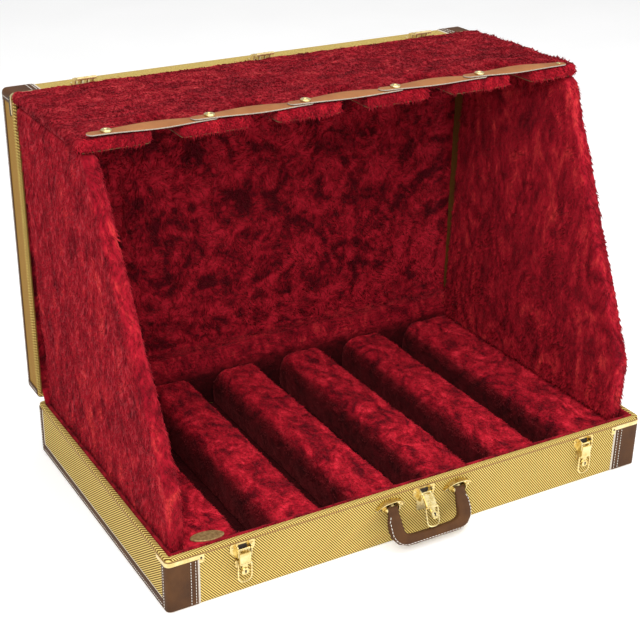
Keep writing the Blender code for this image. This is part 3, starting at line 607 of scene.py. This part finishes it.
for node in [f"divider_{number}" for number in range(1, 5)] + ["edge_pad_left", "edge_pad_right"]:
    low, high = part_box(node)
    mesh = remeshed(node, PAD_VOXEL)
    if node != "edge_pad_left":
        mesh = brushed_shoulder(mesh, low, high)
    mesh = pile(mesh, 0.0008, 0.0020, (1, 0.7, 1), on_pad)
    mesh = fur(mesh, 8000, (0.1, -1.0, -0.1), length=0.0068, width=0.0010, lift=0.26, swirl=0.8,
               bare=lambda x, y, z, nx, ny, nz: nz < 0.35 or abs(ny) > 0.7 or near_badge(x, y) < 1.35,
               seed=2)
    mesh = fur(mesh, 3500, (0.0, -0.2, -1.0), length=0.0042, width=0.0009, lift=0.15, swirl=0.5,
               bare=lambda x, y, z, nx, ny, nz: nz > 0.35 or nz < -0.4 or abs(ny) > 0.7, seed=3)
    add(f"{node}_plush", mesh, PLUSH_BASE, "base", (node,))


def grid(bm, rows):
    """Open sheet through rows of points."""
    loops = [[bm.verts.new(spot) for spot in row] for row in rows]
    for lower, upper in zip(loops, loops[1:]):
        for index in range(len(lower) - 1):
            bm.faces.new((lower[index], lower[index + 1], upper[index + 1], upper[index]))


def span(start, end, pitch):
    """Even steps from start to end no longer than the pitch."""
    count = max(1, math.ceil(abs(end - start) / pitch))
    return [start + (end - start) * step / count for step in range(count + 1)]


def rectangle(low_x, high_x, low_v, high_v, pitch, corner):
    """Closed path round a rectangle with rounded corners: points and inward directions."""
    path = []
    for turn, (cx, cv) in enumerate(((high_x, low_v), (high_x, high_v), (low_x, high_v), (low_x, low_v))):
        inset_x = cx - math.copysign(corner, cx)
        inset_v = cv + corner if cv == low_v else cv - corner
        for step in range(5):
            angle = math.radians(-90 + 90 * turn + 90 * step / 4)
            x = inset_x + corner * math.cos(angle)
            v = inset_v + corner * math.sin(angle)
            path.append((Vector((x, v)), Vector((-math.cos(angle), -math.sin(angle)))))
    full = []
    for (spot, inward), (following, inward_after) in zip(path, path[1:] + path[:1]):
        steps = max(1, math.ceil((following - spot).length / pitch))
        for step in range(steps):
            share = step / steps
            full.append((spot.lerp(following, share), inward.lerp(inward_after, share).normalized()))
    return full


# Base lining: a padded wall ring with a rolled lip, and the slot floors.
LIP = RIM_HIGH[2] + 0.0004
GAP = 0.0004
FLOOR_INSET = 0.0112
FLOOR_PITCH = 0.006
bm = bmesh.new()
profile = [(0.0, 0.012), (0.0, LIP - 0.004), (0.0006, LIP - 0.0008), (0.0024, LIP), (0.0050, LIP - 0.0006),
           (0.0068, LIP - 0.004), (0.0066, LIP - 0.010), (0.0054, LIP - 0.018), (0.0046, LIP - 0.026),
           (0.0044, LIP - 0.036), (0.0042, LIP - 0.046), (0.0040, 0.020), (0.0040, 0.012)]
ring_path = rectangle(-HALF + WALL + GAP, HALF - WALL - GAP, WALL + GAP, DEPTH - WALL - GAP,
                      SHEET_PITCH, 0.003)
rings = [[at(spot.x + inward.x * inset, spot.y + inward.y * inset, level) for inset, level in profile]
         for spot, inward in ring_path]
skin(bm, rings, closed=True)
floor_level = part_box("base_lining")[0][2] + 0.005
grid(bm, [[at(x, v, floor_level) for v in span(FLOOR_INSET, DEPTH - FLOOR_INSET, FLOOR_PITCH)]
          for x in span(-HALF + FLOOR_INSET, HALF - FLOOR_INSET, FLOOR_PITCH)])
mesh = pile(from_bmesh("base_lining_plush", bm), 0.0, 0.0008)
mesh = fur(mesh, 16000, (0.3, -0.3, -1.0), length=0.0060, width=0.0009, lift=0.30, swirl=0.8,
           bare=lambda x, y, z, nx, ny, nz: (abs(x) > HALF - 0.0085 and z < LIP - 0.003)
           or not FRONT + 0.0085 < y < FRONT + DEPTH - 0.0085)
add("base_lining_plush", mesh, PLUSH_LINING, "base", ("base_lining",))

# Lid lining: back panel and the strip along the bottom, joined by a soft fold.
LINE_LOW, LINE_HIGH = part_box("lid_lining")
back_face = LINE_HIGH[1] - FRONT - 0.0052
strip_top = LINE_LOW[2] + 0.004
bm = bmesh.new()
profile = [(LINE_LOW[1] - FRONT + 0.0006, LINE_LOW[2] + 0.0004), (LINE_LOW[1] - FRONT, LINE_LOW[2] + 0.0022),
           (LINE_LOW[1] - FRONT + 0.0012, strip_top)]
profile += [(v, strip_top) for v in span(LINE_LOW[1] - FRONT + 0.005, back_face - 0.006, SHEET_PITCH)]
profile += [(back_face - 0.0024, strip_top + 0.0008), (back_face - 0.0006, strip_top + 0.004)]
profile += [(back_face, z) for z in span(strip_top + 0.009, LINE_HIGH[2], SHEET_PITCH)]
profile += [(back_face + 0.003, LINE_HIGH[2])]
grid(bm, [[at(x, v, z) for v, z in profile] for x in span(LINE_LOW[0], LINE_HIGH[0], SHEET_PITCH)])
mesh = from_bmesh("lid_lining_plush", bm)
if mesh.polygons[len(mesh.polygons) // 2].normal.y > 0:
    mesh.flip_normals()
mesh = pile(mesh, 0.0004, 0.0018, (0.8, 1, 0.8), pitch=0.016)
mesh = fur(mesh, 26000, (0.5, 0, -1.0), length=0.0105, width=0.0012, lift=0.22, swirl=1.1,
           bare=lambda x, y, z, nx, ny, nz: z > LINE_HIGH[2] - 0.006 or abs(x) > LINE_HIGH[0] - 0.006)
# The strip along the bottom takes the brighter side copy of the plush: painted light.
for face in mesh.polygons:
    if face.center.z < strip_top + 0.004:
        face.material_index = 1
add("lid_lining_plush", mesh, (PLUSH_BACK, PLUSH_SIDE), "lid", ("lid_lining",))

# Plush flap over the seam.
flap_low, flap_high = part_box("hinge_cloth")
bm = bmesh.new()
profile = [(0.4700, 0.0800), (0.4722, 0.0850), (0.4748, 0.0905), (0.4778, 0.0960), (0.4812, 0.1010),
           (0.4848, 0.1046), (0.4880, 0.1048), (0.4868, 0.1012), (0.4836, 0.0978), (0.4806, 0.0920),
           (0.4786, 0.0870), (0.4766, 0.0835), (0.4752, 0.0800)]
rings = [[at(x, v, z) for v, z in profile] for x in span(flap_low[0], flap_high[0], SHEET_PITCH)]
skin(bm, rings)
mesh = pile(from_bmesh("seam_flap", bm), 0.0, 0.0007)
mesh = fur(mesh, 5000, (0.4, -0.3, -1.0), length=0.0055, width=0.0009, lift=0.3, swirl=0.8,
           bare=lambda x, y, z, nx, ny, nz: ny > -0.1 or abs(x) > HALF - 0.014)
flap = add("seam_flap", mesh, PLUSH_SIDE, None)
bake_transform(flap)
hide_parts("hinge_cloth")


def outline_below(node):
    """The ordered outline of a node's flat underside."""
    bm = bmesh.new()
    bm.from_mesh(nodes[node].data)
    bmesh.ops.remove_doubles(bm, verts=bm.verts, dist=0.00001)
    under = {face for face in bm.faces if face.normal.z < -0.99}
    links = {}
    for edge in bm.edges:
        if sum(face in under for face in edge.link_faces) == 1:
            first, second = edge.verts
            links.setdefault(first, []).append(second)
            links.setdefault(second, []).append(first)
    start = next(iter(links))
    loop, before, here = [start.co.copy()], start, links[start][0]
    while here is not start:
        loop.append(here.co.copy())
        before, here = here, next(vert for vert in links[here] if vert is not before)
    bm.free()
    area = sum(a.x * b.y - b.x * a.y for a, b in zip(loop, loop[1:] + loop[:1]))
    return loop if area > 0 else loop[::-1]


def widened(loop, distance, low):
    """The outline moved outward in plan, but sunk into the pile at the ends and the back."""
    moved = []
    for before, here, after in zip(loop[-1:] + loop[:-1], loop, loop[1:] + loop[:1]):
        first = (here - before).normalized()
        second = (after - here).normalized()
        out = Vector((first.y + second.y, -first.x - second.x, 0)).normalized()
        hidden = abs(here.x) > -low[0] - 0.006 or here.y > low[1] + 0.085
        moved.append(here + out * (-0.003 if hidden else distance))
    return moved


# Cut board edge showing under the top panel's pile.
low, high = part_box("top_panel")
loop = outline_below("top_panel")
bm = bmesh.new()
rings = []
for distance, drop in ((0.0016, -0.0003), (0.0018, 0.0005), (0.0006, 0.0005), (0.0006, -0.0003)):
    rings.append([spot + Vector((0, 0, drop)) for spot in widened(loop, distance, low)])
skin(bm, rings, closed=True)
add("top_board_edge", from_bmesh("top_board_edge", bm, smooth=False), BOARD, "top_panel")


# ---------------------------------------------------------------- straps
JOINTS = {joint["name"]: joint for joint in frame["joints"]}

STRAP_HALF = 0.0080
STRAP_FLARE = 0.0034
STRAP_HALF_THICK = 0.0008
STRAP_ROLL = math.radians(9)
STRAP_STEPS = 56
# Section of a strap in half widths and half thicknesses, and which of its sides are the cut edges.
STRAP_SECTION = ((-1, -0.55), (-0.96, -1), (-0.5, -1), (0, -1), (0.5, -1), (0.96, -1), (1, -0.55),
                 (1, 0.55), (0.96, 1), (0.5, 1.12), (0, 1.18), (-0.5, 1.12), (-0.96, 1), (-1, 0.55))
STRAP_CUT_SIDES = {0, 5, 6, 7, 12, 13}


def strap(number):
    """Cut leather strap: rounded tips, pale edges, a slight roll towards the front."""
    name = f"strap_{number}"
    low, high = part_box(name)
    axis = Vector(JOINTS[f"{name}_swing"]["axis"])
    pivot = Vector(JOINTS[f"{name}_swing"]["pos_m"])
    along = REAR.cross(axis).normalized()
    length = (high[0] - low[0]) / along.x
    tail = high[0] - pivot.x
    bm = bmesh.new()
    rings = []
    for step in range(STRAP_STEPS + 1):
        share = (1 - math.cos(math.pi * step / STRAP_STEPS)) / 2
        reach = tail - length * share
        flare = math.sin(math.pi * min(1.0, share * 1.05)) ** 2
        half = STRAP_HALF + STRAP_FLARE * flare
        end = min(reach + length - tail, tail - reach)
        if end < STRAP_HALF:
            half *= math.sqrt(max(0.03, 1 - (1 - end / STRAP_HALF) ** 2))
        roll = STRAP_ROLL * flare
        centre = pivot + along * reach + axis * (0.0010 + 0.0006 * flare)
        centre += REAR * 0.0006 * math.sin(share * 9 + number)
        across = REAR * math.cos(roll) + axis * math.sin(roll)
        thick = across.cross(along) * -STRAP_HALF_THICK
        rings.append([centre + across * half * side + thick * up for side, up in STRAP_SECTION])
    skin(bm, rings)
    mesh = from_bmesh(name, bm)
    for face in mesh.polygons:
        if len(face.vertices) > 4 or face.index % len(STRAP_SECTION) in STRAP_CUT_SIDES:
            face.material_index = 1
    add(f"{name}_leather", mesh, (TAN, STRAP_EDGE), name, (name,))


for number in range(1, 6):
    strap(number)


# ---------------------------------------------------------------- stitching, piping and beads
def welt(bm, start, end, out, half, proud):
    """Half-sunk round piping on a flat face."""
    across = (end - start).normalized().cross(out).normalized()
    rings = []
    for share in span(0.0, 1.0, 0.02):
        rings.append(circle(start.lerp(end, share), across * half, out * proud, 1, 10))
    skin(bm, rings)


def trims(name, body, rows, pipes):
    """One stitching piece and one piping piece on a body, from (start, end, out) lines."""
    bm = bmesh.new()
    for start, end, out in rows:
        stitch_row(bm, [start, end], out)
    add(f"{name}_stitches", from_bmesh(f"{name}_stitches", bm), THREAD, body)
    bm = bmesh.new()
    for start, end, out, half in pipes:
        welt(bm, start, end, out, half, half * 0.7)
    add(f"{name}_piping", from_bmesh(f"{name}_piping", bm), CREAM, body)


# Insets from the case's ends of the two stitch rows and the piping on each leather corner.
STITCH_INSETS = (0.034, 0.041)
PIPING_INSET = 0.0460
PIPING_HALF = 0.0018
STITCH_FOOT = 0.0025
BINDING_END = 0.015
corner_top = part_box("base_corner_front_left")[1][2] - 0.001
rows, pipes = [], []
for _, sign in SIDES:
    x_face = sign * HALF
    x_sheet = sign * (HALF + SHEET)
    outward = RIGHT * sign
    for depth, back, top in ((0.0, -1, corner_top), (DEPTH, 1, corner_top + 0.006)):
        out = REAR * back
        face = depth + back * SHEET
        for inset in STITCH_INSETS:
            x = sign * (HALF - inset)
            rows.append((at(x, face, STITCH_FOOT), at(x, face, top), out))
        x = sign * (HALF - PIPING_INSET)
        pipes.append((at(x, depth, 0.0015), at(x, depth, top), out, PIPING_HALF))
        v = depth - back * 0.009
        rows.append((at(x_sheet, v, STITCH_FOOT), at(x_sheet, v, top), outward))
        v = depth - back * 0.0153
        pipes.append((at(x_face, v, 0.0150), at(x_face, v, top), outward, 0.0011))
    rows.append((at(x_sheet, BINDING_END, 0.0062), at(x_sheet, DEPTH - BINDING_END, 0.0062), outward))
    pipes.append((at(x_face, BINDING_END, 0.0150), at(x_face, DEPTH - BINDING_END, 0.0150), outward, 0.0008))
trims("base", "base", rows, pipes)

lid_rim = LID_LOW[1] - FRONT
lid_back = LID_HIGH[1] - FRONT
back = lid_back - 0.002
rows, pipes = [], []
for _, sign in SIDES:
    x_sheet = sign * (HALF + SHEET)
    outward = RIGHT * sign
    for level, up, front in ((LID_HIGH[2], 1, lid_rim + 0.0085), (LID_LOW[2], -1, lid_rim + 0.0020)):
        out = UP * up
        z = level + up * SHEET
        for inset in STITCH_INSETS:
            x = sign * (HALF - inset)
            rows.append((at(x, front, z), at(x, back, z), out))
        x = sign * (HALF - PIPING_INSET)
        pipes.append((at(x, front, level), at(x, back, level), out, PIPING_HALF))
        z = level - up * 0.009
        rows.append((at(x_sheet, front, z), at(x_sheet, back, z), outward))
    v = lid_back - 0.0050
    rows.append((at(x_sheet, v, LID_LOW[2] + 0.0145), at(x_sheet, v, LID_HIGH[2] - 0.0145), outward))
trims("lid", "lid", rows, pipes)

# Striped bead round the lid's mouth, and two thin welts under the base's rim.
BEAD = 0.0022
BEAD_PROUD = 0.0003
EDGE_CORNER = 0.006
EDGE_PITCH = 0.012
bm = bmesh.new()
bead_half = HALF - BEAD + BEAD_PROUD
bead = rectangle(-bead_half, bead_half, LID_LOW[2] + BEAD - BEAD_PROUD, LID_HIGH[2] - BEAD + BEAD_PROUD,
                 EDGE_PITCH, EDGE_CORNER)
tube(bm, [at(spot.x, lid_rim + BEAD - 0.0005, spot.y) for spot, _ in bead], BEAD, 14, closed=True)
add("lid_bead", from_bmesh("lid_bead", bm), ROPE, "lid")

bm = bmesh.new()
for level, radius in ((RIM_HIGH[2] - 0.0052, 0.0008), (RIM_HIGH[2] - 0.0068, 0.0005)):
    edge = rectangle(-HALF, HALF, 0.0, DEPTH, EDGE_PITCH, EDGE_CORNER)
    tube(bm, [at(spot.x, spot.y, level) for spot, _ in edge], radius, 6, closed=True)
add("rim_welt", from_bmesh("rim_welt", bm), WELT, "base")


def surface_of(node):
    """Search tree of a node's own mesh."""
    mesh = nodes[node].data
    spots = [vertex.co for vertex in mesh.vertices]
    return BVHTree.FromPolygons(spots, [face.vertices for face in mesh.polygons])


# Handle stitching: a line just inside the outer edge of both faces.
handle_pivot = Vector(JOINTS["handle_swing"]["pos_m"])
handle_turn = Matrix.Rotation(-HANDLE_SWING, 3, "X")
HANDLE_HALF = 0.0665
HANDLE_FOOT = 0.0545
BEND_WIDTH = 0.022
BEND_START = 0.0320
half_line = [(HANDLE_HALF - 0.0030, 0.0100), (HANDLE_HALF, 0.0170), (HANDLE_HALF, 0.0300)]
for step in range(7):
    angle = math.pi / 2 * step / 6
    half_line.append((HANDLE_HALF - BEND_WIDTH * (1 - math.cos(angle)),
                      BEND_START + (HANDLE_FOOT - BEND_START) * math.sin(angle)))
half_line += [(x, HANDLE_FOOT) for x in (0.034, 0.017, 0.0)]
line = [(-x, drop) for x, drop in half_line] + [(x, drop) for x, drop in half_line[-2::-1]]
tree = surface_of("handle")
bm = bmesh.new()
for facing in (-1, 1):
    out = handle_turn @ (REAR * facing)
    path = []
    for (x, drop), (after_x, after_drop) in zip(line, line[1:]):
        for share in (0.0, 0.33, 0.67):
            spot_x = x + (after_x - x) * share
            spot_drop = drop + (after_drop - drop) * share
            start = handle_pivot + handle_turn @ Vector((spot_x, facing * 0.02, -spot_drop))
            spot = tree.ray_cast(start, -out)[0]
            if spot is not None:
                path.append(spot)
    stitch_row(bm, path, out, 0.0050, 0.0038, 0.0005)
add("handle_stitches", from_bmesh("handle_stitches", bm), THREAD, "handle")

# Latch levers: a folded block on a pin, a narrow tongue and a round lock boss with a keyhole.
CENTRE_OPEN = math.radians(42)
BAIL_DROP = 0.0215
# Half width, upper end, lower end, front and back, measured from the pin.
BLOCK = (0.0086, -0.0032, -0.0200, -0.0048, -0.0008)
TONGUE = (0.0040, -0.0190, -0.0390, -0.0034, -0.0012)
BOSS_Z = -0.0330
KEYHOLE_Y = -0.0051
KEYHOLE_STEPS = 20
for word in WORDS:
    pivot = Vector(JOINTS[f"lever_{word}_swing"]["pos_m"])
    turn = Matrix.Rotation(-CENTRE_OPEN if word == "centre" else 0.0, 3, "X")
    bm = bmesh.new()
    for half, upper, lower, front, back in (BLOCK, TONGUE):
        rings = [[Vector((x, y, z)) for x, y in ((-half, front), (half, front), (half, back), (-half, back))]
                 for z in (lower, upper)]
        skin(bm, rings)
    bmesh.ops.recalc_face_normals(bm, faces=bm.faces)
    bmesh.ops.bevel(bm, geom=bm.edges[:], offset=0.0006, segments=2, affect="EDGES", clamp_overlap=True)
    for half, y, z, radius in ((0.0087, 0.0, 0.0, 0.0017), (0.0084, -0.0020, -BAIL_DROP, 0.0023)):
        tube(bm, [Vector((-half, y, z)), Vector((0, y, z)), Vector((half, y, z))], radius, 12)
    for side_x in (-0.0070, 0.0070):
        tube(bm, [Vector((side_x, 0, 0.0002)), Vector((side_x, -0.0020, -0.0030)),
                  Vector((side_x, -0.0026, -0.0060))], 0.0014, 8)
    rings = []
    for y, radius in ((-0.0014, 0.0056), (-0.0044, 0.0056), (-0.0050, 0.0050)):
        rings.append(circle(Vector((0, y, BOSS_Z)), RIGHT, UP, radius, 24))
    skin(bm, rings)
    mesh = from_bmesh(f"lever_{word}_brass", bm)
    mesh.transform(Matrix.Translation(pivot) @ turn.to_4x4())
    mesh.set_sharp_from_angle(angle=math.radians(40))
    add(f"lever_{word}_brass", mesh, BRASS, f"lever_{word}", (f"lever_{word}",))
    bm = bmesh.new()
    rings = []
    for lift, size in ((-0.0002, 1.0), (0.00018, 1.0), (0.0002, 0.85)):
        ring = []
        for step in range(KEYHOLE_STEPS):
            angle = math.tau * step / KEYHOLE_STEPS
            x = 0.0014 * math.cos(angle)
            z = 0.0014 * math.sin(angle) + 0.0012
            if math.sin(angle) < -0.4:
                x = math.copysign(0.0007, math.cos(angle))
                z = -0.0030 * abs(math.sin(angle))
            ring.append(pivot + turn @ Vector((x * size, KEYHOLE_Y - lift, BOSS_Z + z * size)))
        rings.append(ring)
    skin(bm, rings)
    add(f"keyhole_{word}", from_bmesh(f"keyhole_{word}", bm, smooth=False), PAINTED_SHADE, f"lever_{word}")

# Painted shade: a dark sheet in each latch plate's hollow behind the lever's pin.
HOLLOW = ((-0.0064, -0.0040), (0.0064, -0.0040), (0.0064, 0.0058), (-0.0064, 0.0058))
bm = bmesh.new()
for word in WORDS:
    pivot = Vector(JOINTS[f"lever_{word}_swing"]["pos_m"])
    skin(bm, [[at(pivot.x + x, v, pivot.z + z) for x, z in HOLLOW] for v in (-0.0010, -0.0016)])
add("latch_hollow_shades", from_bmesh("latch_hollow_shades", bm, smooth=False), PAINTED_SHADE, "base")


# ---------------------------------------------------------------- catches on the lid's top side
def profile_plate(bm, profile, x_low, x_high):
    """Bent sheet: a closed (v, z) outline across the case."""
    skin(bm, [[at(x, v, z) for v, z in profile] for x in (x_low, x_high)])


def knob(bm, centre, radius, height):
    """Small domed head standing up from a plate."""
    rings = []
    for lift, size in ((0.0, 1.0), (height * 0.6, 0.92), (height, 0.5)):
        rings.append(circle(centre + UP * lift, RIGHT, REAR, radius * size, 12))
    skin(bm, rings)


CATCH_THICK = 0.0012
CHEEKS = (-0.0135, -0.0048, 0.0048, 0.0135)
CHEEK_HALF = 0.0010
HOOK_HALF = 0.0146
HOOK_OUTLINE = ((0.0130, 0.0006), (0.0110, 0.0080), (0.0020, 0.0122), (-0.0092, 0.0136),
                (-0.0106, 0.0108), (-0.0004, 0.0084), (0.0024, 0.0006))
for word in WORDS:
    low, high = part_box(f"catch_{word}")
    x = (low[0] + high[0]) / 2
    half = (high[0] - low[0]) / 2
    top = LID_HIGH[2] + 0.0003
    bm = bmesh.new()
    plate = [(lid_rim + 0.0008, top), (lid_rim + 0.0215, top), (lid_rim + 0.0205, top + CATCH_THICK),
             (lid_rim + 0.0008, top + CATCH_THICK)]
    profile_plate(bm, plate, x - half, x + half)
    sheet = [(lid_rim + v, top + z) for v, z in HOOK_OUTLINE]
    for cheek in CHEEKS:
        profile_plate(bm, sheet, x + cheek - CHEEK_HALF, x + cheek + CHEEK_HALF)
    for v, z, radius in ((0.0078, 0.0078, 0.0023), (-0.0096, 0.0127, 0.0025)):
        tube(bm, [at(x + end, lid_rim + v, top + z) for end in (-HOOK_HALF, 0, HOOK_HALF)], radius, 10)
    for _, sign in SIDES:
        knob(bm, at(x + sign * 0.0095, lid_rim + 0.0165, top + CATCH_THICK), 0.0026, 0.0014)
    add(f"catch_{word}_hook", from_bmesh(f"catch_{word}_hook", bm, smooth=False), CATCH_BRASS, "lid",
        (f"catch_{word}",))

# Shadow line between each lid clamp and the tan side.
for side, sign in SIDES:
    clamp_low, clamp_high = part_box(f"lid_clamp_{side}")
    back = clamp_high[1] - FRONT
    bm = bmesh.new()
    outline = [(back - 0.0002, clamp_low[2] - 0.003), (back + 0.0028, clamp_low[2] + 0.001),
               (back + 0.0028, LID_HIGH[2] - 0.004), (back - 0.0002, LID_HIGH[2] - 0.004)]
    profile_plate(bm, outline, *sorted((sign * (HALF + 0.0002), sign * (HALF + 0.0018))))
    add(f"clamp_shadow_{side}", from_bmesh(f"clamp_shadow_{side}", bm, smooth=False), PAINTED_SHADE, "lid")

# Punched hole at the inner end of each front clamp, drawn as a dark disc of painted shade.
bm = bmesh.new()
for side, sign in SIDES:
    clamp_low, clamp_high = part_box(f"base_clamp_{side}")
    inner = clamp_high[0] if sign < 0 else clamp_low[0]
    centre = Vector((inner + sign * 0.0046, FRONT - SHEET, clamp_high[2] - 0.0052))
    skin(bm, [circle(centre - REAR * lift, RIGHT, UP, radius, 16)
              for lift, radius in ((-0.0003, 0.0017), (0.0002, 0.0016))])
add("clamp_holes", from_bmesh("clamp_holes", bm, smooth=False), PAINTED_SHADE, "base")

# Screws along both hinge leaves.
SCREWS = 9
SCREW_INSET = 0.020
SCREW_RADIUS = 0.0028
leaf_low, leaf_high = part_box("hinge_base_leaf")
screw_run = leaf_high[0] - leaf_low[0] - 2 * SCREW_INSET
for name, body, place, out in (
    ("hinge_base_screws", "base", at(0, DEPTH + SHEET, 0.0710), REAR),
    ("hinge_lid_screws", "lid", at(0, lid_rim + 0.0220, LID_LOW[2] - SHEET), -UP),
):
    bm = bmesh.new()
    for step in range(SCREWS):
        centre = place + RIGHT * (leaf_low[0] + SCREW_INSET + screw_run * step / (SCREWS - 1))
        skin(bm, [circle(centre + out * lift, RIGHT, out.cross(RIGHT), SCREW_RADIUS * size, 12)
                  for lift, size in ((-0.0002, 1.0), (0.0004, 0.92), (0.0006, 0.6), (0.0003, 0.5))])
    add(name, from_bmesh(name, bm), BRASS, body)


# ---------------------------------------------------------------- stage, light and camera
def stage_floor():
    """Large pale floor under the case."""
    bm = bmesh.new()
    bmesh.ops.create_grid(bm, x_segments=8, y_segments=8, size=6.0)
    mesh = from_bmesh("floor", bm, smooth=False)
    shader = Shader("pale_floor", Roughness=0.9, Emission_Color=(1.0, 1.0, 1.0, 1.0), Emission_Strength=0.22)
    tint = shader.ramp(shader.noise(shader.spot, 3, 2), [(0.3, 0.93), (0.7, 0.96)])
    mesh.materials.append(shader.finish(tint))
    floor = bpy.data.objects.new("floor", mesh)
    floor.location = (0, 0, -0.0005)
    bpy.context.scene.collection.objects.link(floor)


def area_light(name, place, target, size, power):
    """White rectangular light aimed at a target."""
    light = bpy.data.lights.new(name, "AREA")
    light.shape = "RECTANGLE"
    light.size, light.size_y = size
    light.energy = power
    item = bpy.data.objects.new(name, light)
    item.location = place
    item.rotation_euler = (Vector(target) - Vector(place)).to_track_quat("-Z", "Y").to_euler()
    bpy.context.scene.collection.objects.link(item)


stage_floor()
area_light("key", (-1.6, -2.2, 2.4), (0, 0, 0.25), (1.4, 1.4), 66)
area_light("top", (0.2, -0.3, 2.8), (0, 0, 0.3), (2.2, 2.2), 40)
area_light("fill", (2.4, -1.8, 1.2), (0, 0, 0.3), (1.6, 1.6), 22)
world = bpy.data.worlds.new("studio")
world.use_nodes = True
world.node_tree.nodes["Background"].inputs["Color"].default_value = (1, 1, 1, 1)
world.node_tree.nodes["Background"].inputs["Strength"].default_value = 0.6
bpy.context.scene.world = world

# The view of the photo, from a perspective fitted to the base's two visible faces.
CAMERA_AZIMUTH = -28.41
CAMERA_ELEVATION = 26.68
CAMERA_PLACE = at(-HALF - 0.5563, -1.3137, 1.0993)
camera = bpy.data.cameras.new("camera")
camera.lens = 75.24
camera.sensor_width = 36
camera.shift_x = 0.0761
camera.shift_y = 0.0506
viewer = bpy.data.objects.new("camera", camera)
viewer.location = CAMERA_PLACE
viewer.rotation_euler = (math.radians(90 - CAMERA_ELEVATION), 0, math.radians(CAMERA_AZIMUTH))
bpy.context.scene.collection.objects.link(viewer)
bpy.context.scene.camera = viewer
